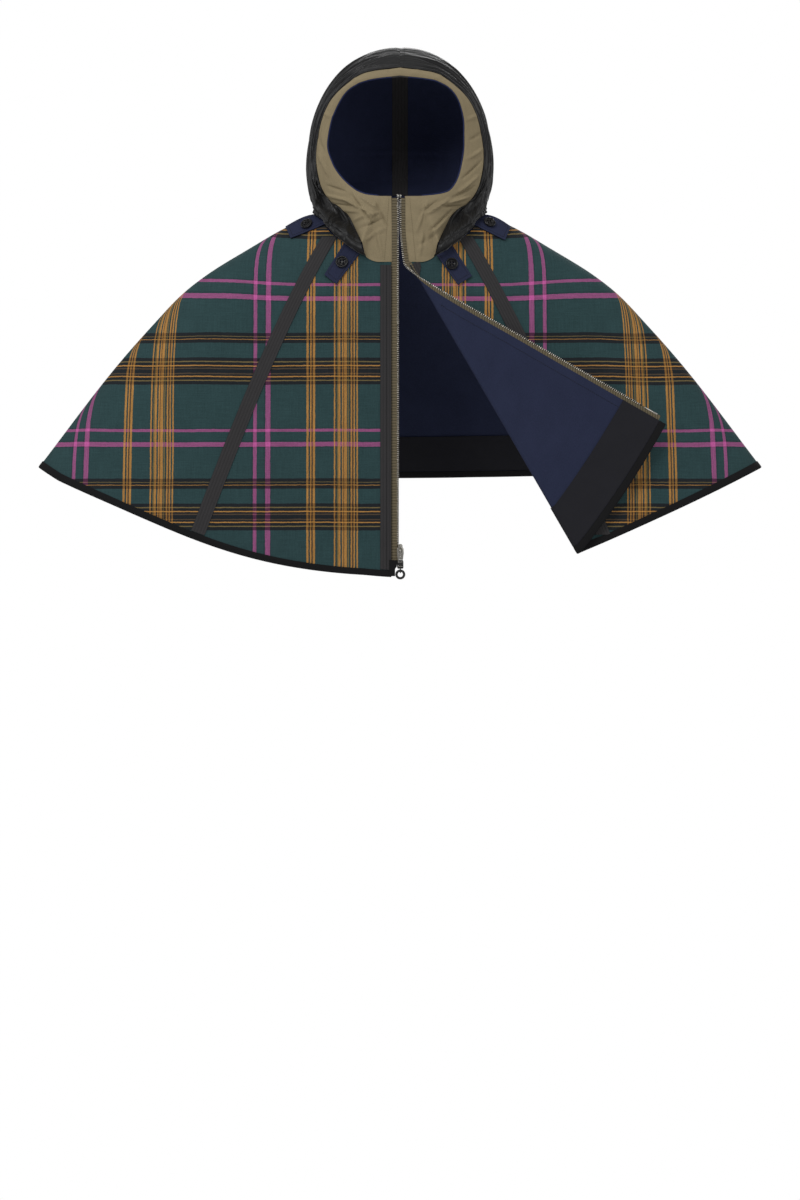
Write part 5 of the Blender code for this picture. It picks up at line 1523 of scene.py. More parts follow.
def wrinkle_height(rows, stations, shares):
    """How far the wrinkles lift the shell at stations round the hood and shares down its ribs."""
    lift = 0 * (stations + shares)
    for row in rows:
        wrinkle = dict(zip(WRINKLE_COLUMNS, row))
        along = (shares - wrinkle["start"]) / (wrinkle["end"] - wrinkle["start"])
        sway = WRINKLE_SWAY * np.sin(WRINKLE_SWAY_WAVE * shares + wrinkle["station"] * WRINKLE_SWAY_STEP)
        middle = wrinkle["station"] + wrinkle["lean"] * (along - 0.5) + sway
        ends = ease(along / WRINKLE_RISE) * ease((1 - along) / WRINKLE_RISE)
        apart = (stations - middle) / wrinkle["half_width"]
        lift = lift + wrinkle["height"] * MM * ends * np.exp(-apart ** 2)
    return lift


def gather_height(seed, angles, shares):
    """Short gathers that rise from the neck edge, uneven in place, length, slant and height."""
    draw = np.random.default_rng(seed)
    lift = 0 * (angles + shares)
    for spot in np.linspace(NECK_ROLL_FRONT, 180, GATHERS_PER_HALF):
        middle = spot + draw.uniform(*GATHER_SHIFTS)
        start = draw.uniform(*GATHER_STARTS)
        slant = draw.uniform(*GATHER_SLANTS)
        width = draw.uniform(*GATHER_WIDTHS)
        height = draw.choice(GATHER_SIGNS) * draw.uniform(*GATHER_HEIGHTS) * MM
        apart = angles - middle - slant * (shares - GATHER_SLANT_SHARE)
        lift = lift + height * ease((shares - start) / GATHER_RISE) * np.exp(-(apart / width) ** 2)
    near, far = GATHER_FRONT_ANGLES
    return lift * mix(GATHER_FRONT_SHARE, 1, ease((angles - near) / (far - near)))


hood_form = np.stack([hood_column(station, form_foot) for station in shell_stations], axis=1)
hood_form_normals = hood_normals(hood_form)
nylon_grid = np.stack([nylon_column(station) for station in shell_stations], axis=1)
edge_step = nylon_grid[:, 2] - nylon_grid[:, 0]
edge_gap = np.minimum(0.5, EDGE_CLEARANCE / np.linalg.norm(edge_step, axis=1, keepdims=True))
nylon_grid[:, 0] += edge_step * edge_gap
nylon_grid[:, 1] = mix(nylon_grid[:, 0], nylon_grid[:, 2], 0.5)
nylon_normals = hood_normals(nylon_grid)
main_rows = CROWN_STEPS + CHEEK_STEPS
rib_shares = np.arange(len(nylon_grid))[:, None] / main_rows
shell_angles = neck_angle(shell_stations)[None]
mirror = np.array((-1, 1, 1))
hood_relief = -CROWN_DIP * np.exp(-(rib_shares * CROWN_DIP_NARROW) ** 2)
hood_relief = hood_relief - EDGE_DIP * np.exp(-((rib_shares - EDGE_DIP_SHARE) / EDGE_DIP_WIDTH) ** 2)
for ridge_share in EDGE_RIDGE_SHARES:
    hood_relief = hood_relief + EDGE_RIDGE * np.exp(-((rib_shares - ridge_share) / EDGE_RIDGE_WIDTH) ** 2)


def on_side(side, grid, normals):
    """A half of the hood as made for the left, or mirrored for the right."""
    if side == "left":
        return grid, normals
    return (grid * mirror)[:, ::-1], (normals * mirror)[:, ::-1]


for side, wrinkles in (("left", LEFT_WRINKLES), ("right", RIGHT_WRINKLES)):
    lift = wrinkle_height(wrinkles, shell_stations[None], rib_shares)
    lift = lift + gather_height(GATHER_SEEDS[side], shell_angles, rib_shares) + hood_relief
    grid = nylon_grid + nylon_normals * lift[..., None]
    grid[0, :, 0] = -SEAM_OVERLAP
    grid[:, -1, 0] = -SEAM_OVERLAP
    grid, normals = on_side(side, grid, hood_normals(grid))
    sew_sheet(side + "_hood_nylon", grid, normals, NYLON_WALL, (black_nylon,),
              ("black_nylon", "hood_shell_" + side))
crown_outs = nylon_normals[CROWN_STITCH_ROW, CROWN_STITCH_START:]
crown_line = nylon_grid[CROWN_STITCH_ROW, CROWN_STITCH_START:]
crown_line = crown_line + crown_outs * (NYLON_WALL / 2 - CROWN_STITCH_SUNK)
stitch_line("crown_stitches", crown_line, crown_outs, thread_dark, "black_nylon", radius=0.25 * MM)


# Hood lining and its tape. Navy wool in two halves, hung inside the shell and joined to the face edge; a
# dark grey tape covers the seam between the halves. A narrow navy edge shows all round the face opening.
LINING_WALL = 1.4 * MM
LINING_INSET = 11 * MM
LINING_BEHIND_FACE = 2.3 * MM
LINING_BEHIND_EDGE = 9 * MM
LINING_NARROWING = 0.95
LINING_LIFT = 2 * MM
LINING_LEAST_WIDTH = 0.3
CHEEK_TUCK = 7 * MM
CHEEK_TUCK_STATION = 0.25
CHEEK_TUCK_REACH = 0.4
CHEEK_TUCK_SHARE = 0.84
CHEEK_TUCK_HEIGHT = 0.12
NAPE_FOLD = 6 * MM
NAPE_FOLD_Z = 101 * MM
NAPE_FOLD_HALF_WIDTH = 7 * MM
NAPE_FOLD_FROM = 4
NAPE_FOLD_OVER = 1.5
HOOD_TAPE_REACH = 12.5 * MM
LINING_STATIONS = np.array((0.33, 0.67, 1, 1.5, 2, 2.5, 3, 3.5, 4, 4.5, 5, 6, 7))
LINING_FACE_STATION = -0.6
LINING_FACE_PLACES = 18
LINING_PLACES = 90
TAPE_POLE_COLUMNS = 17
TAPE_POLE_ROWS = 26
TAPE_ENDS_ABOVE = 4
HOOD_TAPE_STEPS = 7
LINING_FOLDS = (
    (2.3, 0.50, 0.10, 0.60, 0.30, -3.0),
    (3.6, -0.60, 0.20, 0.75, 0.35, -3.5),
    (4.8, 0.40, 0.35, 0.90, 0.35, -3.0),
    (6.0, -0.30, 0.20, 0.80, 0.40, -2.5),
)
HOOD_NAVY = (40, 45, 68)
hood_wool = cloth_material("hood_wool", HOOD_NAVY, WOOL_TWILL, 0.14, 0.6, 0.3, 0.35 * MM)
FACE_SHIFT_COLUMNS = ("left", "right")
FACE_SHIFT = np.array((
    (0, 0), (5, 2), (6, 6), (1, 4), (-4, 5), (-7, 6.5), (-5, 4), (3, 1), (9, -1), (7, 3),
)) * MM
face_ribs = {}
for side in FACE_SHIFT_COLUMNS:
    shift = FACE_SHIFT[:, FACE_SHIFT_COLUMNS.index(side)]
    throat_corner = np.array((KHAKI_CORNER[0] * MM, -KHAKI_CORNER[1] * MM, THROAT_TOP))
    face_ribs[side] = band_edge("inner", throat_corner, shift)
inset_columns = []
for station in LINING_STATIONS:
    nearest = np.argmin(np.abs(shell_stations - station))
    outer = hood_form[:, nearest]
    hung = outer - hood_form_normals[:, nearest] * LINING_INSET
    hung[:, 0] = np.maximum(hung[:, 0], outer[:, 0] * LINING_LEAST_WIDTH)
    angle = neck_angle(station)
    foot = body_point(angle, neck_edge(angle) + LINING_LIFT)
    pull = ease((np.arange(len(hung)) - CROWN_STEPS) / CHEEK_STEPS)[:, None]
    inset_columns.append(hung + (foot - hung[-1]) * pull)
behind_edge = front_rib * (LINING_NARROWING, 1, 1) + np.array((0, LINING_BEHIND_EDGE, 0))
behind_edge[0, 2] -= LINING_BEHIND_FACE
lining_stations = np.concatenate((
    np.linspace(LINING_FACE_STATION, LINING_STATIONS[0], LINING_FACE_PLACES, endpoint=False),
    np.linspace(LINING_STATIONS[0], LINING_STATIONS[-1], LINING_PLACES)))
lining_shares = np.linspace(0, 1, main_rows + 1)[:, None]


def lining_half(face_rib):
    """One half of the lining as if it were the left one, from its face edge to the nape."""
    behind_face = face_rib + np.array((0, LINING_BEHIND_FACE, 0))
    columns = np.array([behind_face, behind_edge] + inset_columns)
    curve = smooth_curve(np.concatenate(((LINING_FACE_STATION, 0), LINING_STATIONS)), columns)
    grid = curve(lining_stations).transpose(1, 0, 2)
    normals = hood_normals(grid)
    folds = wrinkle_height(LINING_FOLDS, lining_stations[None], lining_shares)
    cheek_across = (lining_stations[None] - CHEEK_TUCK_STATION) / CHEEK_TUCK_REACH
    cheek_down = (lining_shares - CHEEK_TUCK_SHARE) / CHEEK_TUCK_HEIGHT
    cheek = np.exp(-cheek_across ** 2 - cheek_down ** 2)
    nape = np.exp(-((grid[..., 2] - NAPE_FOLD_Z) / NAPE_FOLD_HALF_WIDTH) ** 2)
    nape = nape * ease((lining_stations[None] - NAPE_FOLD_FROM) / NAPE_FOLD_OVER)
    grid = grid + normals * (folds - CHEEK_TUCK * cheek - NAPE_FOLD * nape)[..., None]
    grid[0, :, 0] = -SEAM_OVERLAP
    grid[:, -1, 0] = -SEAM_OVERLAP
    return grid, normals


for side in FACE_SHIFT_COLUMNS:
    grid, normals = on_side(side, *lining_half(face_ribs[side]))
    sew_sheet(side + "_hood_wool", grid, normals, LINING_WALL, (hood_wool,),
              ("navy_wool", "hood_lining_" + side))

# The tape follows the crown seam from the face edge back, then the nape seam down
lining_grid, lining_normals = lining_half(face_ribs["left"])
tape_reaches = np.linspace(0, HOOD_TAPE_REACH, HOOD_TAPE_STEPS)
crown_columns = range(lining_grid.shape[1] - TAPE_POLE_COLUMNS)
crown_rows = [(lining_grid[:, j], lining_normals[:, j]) for j in crown_columns]
nape_range = range(TAPE_POLE_ROWS, main_rows - TAPE_ENDS_ABOVE)
nape_rows = [(lining_grid[i, ::-1], lining_normals[i, ::-1]) for i in nape_range]
tape_half = []
tape_half_normals = []
for line_points, line_normals in crown_rows + nape_rows:
    tape_half.append(along_path(line_points, line_points, tape_reaches))
    tape_half_normals.append(unit(along_path(line_points, line_normals, tape_reaches)))
tape_half = np.array(tape_half).transpose(1, 0, 2)
tape_half_normals = np.array(tape_half_normals).transpose(1, 0, 2)
tape_half = tape_half - tape_half_normals * (LINING_WALL / 2 + SEAM_GAP + TRIM_WALL / 2)
tape_half[..., 0] = tape_reaches[:, None]
hood_tape_grid = np.concatenate(((tape_half * mirror)[:0:-1], tape_half))
hood_tape_normals = np.concatenate(((tape_half_normals * mirror)[:0:-1], tape_half_normals))
tape_metres = np.stack((lengths_along(hood_tape_grid, 0), lengths_along(hood_tape_grid, 1)), axis=-1)
sew_sheet("hood_seam_tape", hood_tape_grid, hood_tape_normals, TRIM_WALL, (grey_tape,),
          ("grey_tape", "hood_tape"), tape_metres)


# Khaki facing. Cotton twill in one piece, from the right throat round the face opening to the left throat.
# It is stitched beside the zip, and drags into soft creases at the lower corners of the face and at the
# throat.
THROAT_STATION_COLUMNS = ("inner_x", "inner_depth", "outer_x", "drop")
THROAT_STATIONS = ((27, 105, 54, 5), (20, 106, 34, 6))
KHAKI_PUFF = 3 * MM
KHAKI_WALL = 1.6 * MM
KHAKI_LIFT = BODY_WALL / 2 + SEAM_GAP + KHAKI_WALL / 2
THROAT_GAP = 1.3 * MM
KHAKI_SEAM_BACK = 1.6 * MM
KHAKI_ROWS = 40
THROAT_STEPS = 48
KHAKI = (134, 122, 97)
KHAKI_FINER = 3
THROAT_STITCH_COLUMN = 9
PIPING_RADIUS = 1.1 * MM
PIPING_GAP = 0.2 * MM
PIPING_BACK = 0.8 * MM
EDGE_NAVY = (46, 52, 84)
TAPE_END_REACH = 14 * MM
TAPE_END_ABOVE = 200 * MM
TAPE_END_OVER = 0.7 * MM
KHAKI_CREASES = (
    (-114, 46, -86, 36, 2.0, -2.9),
    (-119, 31, -80, 21, 2.2, 3.5),
    (-113, 17, -72, 12, 2.0, -3.2),
    (-102, 7, -64, 3, 2.2, 3.2),
    (-88, 25, -50, 2, 2.2, 4.1),
    (-76, 30, -42, -18, 2.4, -3.8),
    (-62, 28, -34, 6, 2.0, 3.5),
    (-72, -11, -28, 4, 2.2, 3.5),
    (-64, -25, -24, -6, 2.4, -3.5),
    (-42, 23, -20, -22, 2.2, -3.2),
    (-58, -42, -22, -22, 2.9, 2.9),
    (-36, -26, -28, -72, 2.9, 2.6),
    (-128, 98, -112, 62, 2.7, 2.8),
    (-131, 128, -118, 96, 2.9, -2.3),
    (-120, 162, -104, 152, 3.1, 1.9),
    (124, 62, 92, 36, 2.2, 3.8),
    (130, 87, 98, 56, 2.2, -3.5),
    (133, 106, 106, 88, 2.4, 3.2),
    (118, 46, 82, 26, 2.2, -3.5),
    (110, 28, 74, 18, 2.0, 3.8),
    (100, 13, 64, 12, 2.2, -3.5),
    (76, 24, 42, -2, 2.2, 4.1),
    (82, 7, 48, -28, 2.4, -3.8),
    (58, 20, 32, 0, 2.0, -3.2),
    (70, -10, 40, -46, 2.4, 3.5),
    (44, 21, 26, -28, 2.2, 2.9),
    (56, -34, 28, -52, 2.9, -2.9),
    (36, -30, 30, -72, 2.9, 2.6),
    (132, 132, 110, 118, 2.7, -2.6),
    (126, 160, 104, 150, 2.9, 2.2),
    (-58, 204, -76, 218, 4.2, 1.7),
    (50, 208, 68, 224, 4.2, 1.7),
    (-14, 221, -20, 236, 4.2, -1.4),
    (24, 220, 30, 234, 4.2, 1.4),
)
khaki_twill = cloth_material("khaki_twill", KHAKI, 1.3 * MM, 0.24, 0.4, 0.3, 0.3 * MM)
khaki_thread = two_tone_material("khaki_thread", (96, 86, 66), (122, 110, 86), THREAD_NOISE, THREAD_ROUGHNESS,
                                 specular=CLOTH_GLOSS)


def khaki_half(side):
    """Outer and inner edge points of one half, from the crown to the centre front."""
    face_rib = face_ribs["left" if side > 0 else "right"]
    toward = unit(face_rib - front_rib)
    band = np.stack((front_rib + toward * KHAKI_SEAM_BACK, face_rib))
    throat = [band[:, -1]]
    for row in THROAT_STATIONS:
        station = dict(zip(THROAT_STATION_COLUMNS, np.array(row) * MM))
        outer_x = station["outer_x"]
        outer_z = neck_height(np.array(outer_x)) - station["drop"]
        throat.append((on_body(angle_at(outer_x, outer_z), outer_z, KHAKI_LIFT),
                       (station["inner_x"], -station["inner_depth"], THROAT_TOP)))
    edge = left_teeth_x(THROAT_TOP) + ZIP_WIDTH if side > 0 else FRONT_EDGE
    foot = left_teeth_x(NECK_FRONT) + ZIP_WIDTH if side > 0 else FRONT_EDGE
    foot_z = neck_height(np.array(foot)) + THROAT_GAP
    throat.append((body_point(angle_at(foot, foot_z), foot_z), (edge, -THROAT_DEPTH, THROAT_TOP)))
    throat = np.array(throat)
    fine_places = np.linspace(0, len(throat) - 1, THROAT_STEPS + 1)[1:]
    fine = smooth_curve(np.arange(len(throat)), throat)(fine_places)
    return np.concatenate((band, fine.transpose(1, 0, 2)), axis=1) * (side, 1, 1)


khaki_edges = np.concatenate((khaki_half(-1)[:, :0:-1], khaki_half(1)), axis=1)
edge_columns = np.arange(khaki_edges.shape[1])
finer = np.linspace(0, edge_columns[-1], edge_columns[-1] * KHAKI_FINER + 1)
khaki_edges = smooth_curve(edge_columns, khaki_edges.transpose(1, 0, 2))(finer).transpose(1, 0, 2)
throat_columns = THROAT_STEPS * KHAKI_FINER
khaki_share = np.linspace(0, 1, KHAKI_ROWS)[:, None, None]
khaki_grid = mix(khaki_edges[0], khaki_edges[1], khaki_share)
khaki_normals = grid_normals(khaki_grid)
columns = np.arange(khaki_grid.shape[1])
from_end = np.minimum(columns, columns[::-1]) / throat_columns
puff = KHAKI_PUFF * np.sin(pi * khaki_share[..., 0]) ** 0.7 * np.minimum(from_end, 1)
drag = crease_height(KHAKI_CREASES, khaki_grid[..., 0], khaki_grid[..., 2])
drag = drag * np.sin(pi * np.clip(khaki_share[..., 0], 0.04, 0.96)) ** 0.5 * ease(from_end / 0.12)
khaki_grid = khaki_grid + khaki_normals * (puff + drag)[..., None]
zip_heights = khaki_grid[:, -1, 2]
khaki_grid[:, -1, 0] = left_teeth_x(zip_heights) + ZIP_WIDTH + 2 * SEAM_GAP
khaki_grid[:, -1, 1] = -throat_depth(zip_heights)
khaki_grid[:, 0, 1] = -throat_depth(khaki_grid[:, 0, 2])
khaki_normals = grid_normals(khaki_grid)
sew_sheet("khaki_facing", khaki_grid, khaki_normals, KHAKI_WALL, (khaki_twill,),
          ("khaki_cotton", "hood_facing"))
stitch_column = THROAT_STITCH_COLUMN * KHAKI_FINER
for side, column in (("right", stitch_column), ("left", -stitch_column - 1)):
    stitch_outs = khaki_normals[1:-1, column]
    stitch_points = khaki_grid[1:-1, column] + stitch_outs * KHAKI_WALL / 2
    stitch_line(side + "_throat_stitches", stitch_points, stitch_outs, khaki_thread, "khaki_cotton",
                pitch=3.2 * MM, radius=0.3 * MM)


def edge_tube(name, columns, radius, material, slot):
    """A thin round edge along the face opening, over some of the facing's columns."""
    inward = unit(khaki_grid[-1] - khaki_grid[-3])[columns]
    middle = khaki_grid[-1, columns] + inward * (PIPING_RADIUS + PIPING_GAP) + np.array((0, PIPING_BACK, 0))
    return round_cord(name, middle, inward, radius, material, slot)


edge_wool = cloth_material("edge_wool", EDGE_NAVY, WOOL_TWILL, 0.14, 0.6, 0.25, 0.35 * MM)
face_columns = slice(throat_columns, -throat_columns)
face_edge = edge_tube("face_edge", face_columns, PIPING_RADIUS, edge_wool, "navy_wool")
edge_x, edge_z = khaki_grid[-1, :, 0], khaki_grid[-1, :, 2]
over_crown = np.flatnonzero((np.abs(edge_x) < TAPE_END_REACH) & (edge_z > TAPE_END_ABOVE))
tape_end = edge_tube("hood_tape_end", over_crown, PIPING_RADIUS + TAPE_END_OVER, grey_tape, "grey_tape")


# Button tabs and buttons. Four flat tabs of navy wool come out from under the nylon and button the hood
# down; each is stitched round near its edge and holds a dark four-hole resin button with a raised rim, sewn
# with thread.
TAB_COLUMNS = ("name", "root_a", "root_b", "tip_b", "tip_a", "button", "lean")
TABS = (
    ("shoulder_right", (-138, -7.5), (-129, -22.5), (-173, -41), (-181, -23), (-146, -21), 5.5),
    ("front_right", (-91, -52), (-66, -67), (-101, -114), (-120, -99), (-92, -79), 0),
    ("front_left", (58, -67), (84, -53), (114, -101), (92, -115), (82, -82), 0),
    ("shoulder_left", (129, -25), (141, -9), (175, -23), (166, -44), (140, -19), 5.5),
)
TAB_WALL = 1.5 * MM
TAB_UNDER_NYLON = 14 * MM
TAB_LIFT = BODY_WALL / 2 + SEAM_GAP + 0.8 * MM + TAB_WALL / 2
TAB_NAVY = (40, 44, 64)
TAB_ROWS = 22
TAB_ACROSS = 12
TAB_CURL = 1.2 * MM
TAB_CUP = 0.5 * MM
TAB_STITCH_INSET = 0.13
TAB_LOOP_STEPS = 20
BUTTON_PROFILE = np.array((
    (0, 0.2), (7.6, 0.2), (8.8, 0.5), (9.7, 1.1), (10, 1.9), (9.9, 2.8), (9.4, 3.5), (8.8, 3.7), (8.2, 3.5),
    (7.7, 2.9), (7.3, 1.8), (6.8, 1.2), (6.2, 1.3), (5.6, 2.1), (5.0, 2.6), (4.2, 2.3), (2.8, 1.9),
    (1.3, 1.75), (0, 1.72),
)) * MM
BUTTON_SEGMENTS = 48
BUTTON_LIFT = 0.7 * MM
BUTTON_HOLE = 1.5 * MM
BUTTON_HOLE_APART = 2.3 * MM
HOLE_SEGMENTS = 16
HOLE_CORNERS = ((1, 1), (-1, 1), (-1, -1), (1, -1))
HOLE_PROFILE = np.array(((0, -1 * MM), (BUTTON_HOLE, -1 * MM), (BUTTON_HOLE, 5 * MM), (0, 5 * MM)))
THREAD_RISE = 1.8 * MM
tab_wool = cloth_material("tab_wool", TAB_NAVY, WOOL_TWILL, 0.14, 0.6, 0.25, 0.35 * MM)
resin = two_tone_material("dark_resin", (10, 10, 11), (26, 25, 27),
                          {"Scale": 160.0, "Detail": 5.0, "Distortion": 1.2}, 0.24, wear=0.1, specular=0.24,
                          place="Object")


def turned_mesh(name, profile, segments, frame_axes, material):
    """A turned piece on an axis: its profile gives radius and height."""
    seat, side, up, out = frame_axes
    around = turns(segments)
    spokes = np.outer(np.cos(around), side) + np.outer(np.sin(around), up)
    rings = [seat + out * height + radius * spokes for radius, height in profile[1:-1]]
    ends = [seat[None] + out * profile[0][1], seat[None] + out * profile[-1][1]]
    bottom = len(rings) * segments
    place = np.arange(bottom).reshape(len(rings), segments)
    beside = np.roll(place, -1, axis=1)
    faces = tube_faces(place)
    faces += [(beside[0, k], place[0, k], bottom) for k in range(segments)]
    faces += [(place[-1, k], beside[-1, k], bottom + 1) for k in range(segments)]
    return link_mesh(name, smooth_mesh(name, np.concatenate(rings + ends), faces), material)


def cut(obj, tool):
    """Takes one piece's shape out of another, and the first away."""
    modifier = obj.modifiers.new("cut", "BOOLEAN")
    modifier.operation = "DIFFERENCE"
    modifier.object = tool
    modifier.solver = "EXACT"
    graph = bpy.context.evaluated_depsgraph_get()
    obj.data = bpy.data.meshes.new_from_object(obj.evaluated_get(graph))
    obj.modifiers.clear()
    bpy.data.objects.remove(tool, do_unlink=True)


for row in TABS:
    tab = dict(zip(TAB_COLUMNS, row))
    root_a, root_b, tip_b, tip_a = (np.array(tab[key]) * MM for key in TAB_COLUMNS[1:5])
    upper_is_b = root_b[1] > root_a[1]
    root_a = root_a - unit(tip_a - root_a) * TAB_UNDER_NYLON
    root_b = root_b - unit(tip_b - root_b) * TAB_UNDER_NYLON
    down_tab = np.linspace(0, 1, TAB_ROWS)[:, None]
    across_tab = np.linspace(0, 1, TAB_ACROSS)[None]
    places = mix(mix(root_a, tip_a, down_tab[..., None]), mix(root_b, tip_b, down_tab[..., None]),
                 across_tab[..., None])
    curl = TAB_CURL * down_tab ** 3 + TAB_CUP * np.abs(across_tab - 0.5)
    upper_share = across_tab if upper_is_b else 1 - across_tab
    lean = tab["lean"] * MM * upper_share * np.sin(pi * down_tab ** 0.8)
    x, z = places[..., 0], places[..., 1]
    grid = lifted(places, TAB_LIFT + curl + lean)
    normals = grid_normals(grid)
    normals = normals * np.sign(np.sum(normals * body_normal(angle_at(x, z), z), axis=-1, keepdims=True))
    sew_sheet(tab["name"] + "_tab", grid, normals, TAB_WALL, (tab_wool,), ("navy_wool", "tab_" + tab["name"]))
    inset = TAB_STITCH_INSET
    loop = [(0.0, inset), (1 - inset * 0.6, inset), (1 - inset * 0.6, 1 - inset), (0.0, 1 - inset)]
    loop_sides = [np.linspace(a, b, TAB_LOOP_STEPS, endpoint=False) for a, b in zip(loop[:-1], loop[1:])]
    at_row, at_column = np.concatenate(loop_sides).T * np.array(((TAB_ROWS - 1,), (TAB_ACROSS - 1,)))
    picks = np.arange(len(at_row))
    low = np.minimum(at_column.astype(int), TAB_ACROSS - 2)
    part = (at_column - low)[:, None]
    on_loop = []
    for values in (grid, normals):
        at_rows = smooth_curve(np.arange(TAB_ROWS), values)(at_row)
        on_loop.append(mix(at_rows[picks, low], at_rows[picks, low + 1], part))
    stitch_outs = unit(on_loop[1])
    stitch_points = on_loop[0] + stitch_outs * TAB_WALL / 2
    stitch_line(tab["name"] + "_tab_stitches", stitch_points, stitch_outs, thread_dark, "navy_wool",
                pitch=3.0 * MM, radius=0.28 * MM)

    from_button = np.sum((places - np.array(tab["button"]) * MM) ** 2, axis=-1)
    near_button = np.exp(-from_button / (2 * MM) ** 2)[..., None]
    near_button = near_button / near_button.sum()
    out = unit((normals * near_button).sum(axis=(0, 1)))
    seat = (grid * near_button).sum(axis=(0, 1)) + out * (TAB_WALL / 2 + BUTTON_LIFT)
    side = unit(np.cross((0, 0, 1), out))
    up = np.cross(out, side)
    button = turned_mesh(tab["name"] + "_button", BUTTON_PROFILE, BUTTON_SEGMENTS, (seat, side, up, out),
                         resin)
    holes = [seat + (side * a + up * b) * BUTTON_HOLE_APART for a, b in HOLE_CORNERS]
    for hole in holes:
        cut(button, turned_mesh("hole", HOLE_PROFILE, HOLE_SEGMENTS, (hole, side, up, out), resin))
    sew_on(button, "button_horn", "button_" + tab["name"])
    thread_ends = [(holes[0], holes[3]), (holes[1], holes[2])]
    middles = np.array([(a + b) / 2 for a, b in thread_ends]) + out * THREAD_RISE
    alongs = unit(np.array([b - a for a, b in thread_ends]))
    form, faces = stitch_form(4.4 * MM, 0.4 * MM)
    outs = np.tile(out, (2, 1))
    thread = stamp(tab["name"] + "_button_thread", form, faces, middles, np.cross(outs, alongs), outs, alongs,
                   thread_dark)
    sew_on(thread, "navy_wool")


# Zip hardware at the foot of the right front. A satin nickel slider with its looped pull tab turned up, and
# below it a black enamelled lower slider with a ring pull. Both are cast, so their edges are rounded.
SLIDER_X = 0.5 * MM
SLIDER_TOP = -532 * MM
SLIDER_HEIGHT = 20 * MM
SLIDER_HALF_WIDTH = 5.4 * MM
SLIDER_HALF_DEPTH = 3.6 * MM
SHOULDER = 2.2 * MM
WAIST = 1.2 * MM
BRIDGE_HALF_LENGTH = 6.0 * MM
BRIDGE_HALF_WIDTH = 1.2 * MM
BRIDGE_GAP = 3.0 * MM
BRIDGE_WALL = 1.4 * MM
PULL_HALF_WIDTH = 3.6 * MM
PULL_EYE_HALF_WIDTH = 1.9 * MM
PULL_LENGTH = 15 * MM
PULL_EYE_LENGTH = 8.5 * MM
PULL_HALF_WALL = 0.8 * MM
LOWER_HEIGHT = 14 * MM
LOWER_HALF_WIDTH = 5.0 * MM
LOWER_HALF_DEPTH = 3.2 * MM
EYELET_RADIUS = 4.0 * MM
EYELET_HOLE = 2.4 * MM
RING_RADIUS = 8.0 * MM
RING_HOLE = 4.1 * MM
RING_WALL = 2.0 * MM
RING_SEGMENTS = 48
WIRE_SEGMENTS = 14
PLATE_WALL = 1.7 * MM
CAST_SHARP = 40
LOWER_EDGE_SIZE = (7.6 * MM, 0.6 * MM, 0.9 * MM)
LOWER_EDGE_DROPS = (3.4 * MM, 10.2 * MM)
black_enamel = two_tone_material("black_enamel", (6, 6, 7), (20, 20, 21), {"Scale": 300.0, "Detail": 4.0},
                                 0.3, wear=0.25)
zip_face = -float(front_depth(np.array(SLIDER_TOP - SLIDER_HEIGHT)))


def cast_plate(name, outline, plane, near, far, bevel, material):
    """An outline given a thickness, with rounded edges: plane XZ runs through Y and plane YZ through X."""
    shape = bmesh.new()
    rings = []
    for through in (near, far):
        ring = []
        for a, b in outline:
            ring.append(shape.verts.new((a, through, b) if plane == "XZ" else (through, a, b)))
        rings.append(ring)
    shape.faces.new(rings[0])
    shape.faces.new(rings[1][::-1])
    for k in range(len(outline)):
        after = (k + 1) % len(outline)
        shape.faces.new((rings[0][after], rings[0][k], rings[1][k], rings[1][after]))
    bmesh.ops.recalc_face_normals(shape, faces=shape.faces)
    if bevel:
        bmesh.ops.bevel(shape, geom=shape.edges[:], offset=bevel, segments=3, affect="EDGES", profile=0.5)
    mesh = mesh_of(shape, name)
    mesh.polygons.foreach_set("use_smooth", np.ones(len(mesh.polygons), bool))
    mesh.set_sharp_from_angle(angle=np.radians(CAST_SHARP))
    return link_mesh(name, mesh, material)


def circle(radius, middle, segments):
    a, b = middle
    return [(a + radius * np.cos(turn), b + radius * np.sin(turn)) for turn in turns(segments)]


def both_sides(half_outline):
    """An outline that is alike on both sides of the sliders' middle, from its half on the wearer's left."""
    right = [(SLIDER_X - x, z) for x, z in half_outline[::-1]]
    return [(SLIDER_X + x, z) for x, z in half_outline] + right


def join_pieces(name, *pieces):
    """Several meshes as one piece, in the order given."""
    shape = bmesh.new()
    for piece in pieces:
        shape.from_mesh(piece.data)
    mesh = mesh_of(shape, name)
    mesh.set_sharp_from_angle(angle=np.radians(CAST_SHARP))
    joined = link_mesh(name, mesh, pieces[0].data.materials[0])
    for piece in pieces:
        bpy.data.objects.remove(piece, do_unlink=True)
    return joined


half = SLIDER_HALF_WIDTH
slider_foot = SLIDER_TOP - SLIDER_HEIGHT
slider_front = zip_face - SLIDER_HALF_DEPTH
slider_back = zip_face + SLIDER_HALF_DEPTH
slider_outline = both_sides([
    (half - SHOULDER, SLIDER_TOP), (half, SLIDER_TOP - SHOULDER), (half, SLIDER_TOP - SLIDER_HEIGHT * 0.45),
    (half - WAIST, slider_foot)])
wedge_outline = both_sides([(2 * MM, SLIDER_TOP - 1 * MM), (0.5 * MM, SLIDER_TOP - 11 * MM)])
PLATE_COLUMNS = ("name", "outline", "near", "far", "bevel")
plate_rows = [
    ("front_plate", slider_outline, slider_front, slider_front + PLATE_WALL, 0.5 * MM),
    ("back_plate", slider_outline, slider_back - PLATE_WALL, slider_back, 0.5 * MM),
    ("wedge", wedge_outline, slider_front + 1 * MM, slider_back - 1 * MM, 0.2 * MM)]
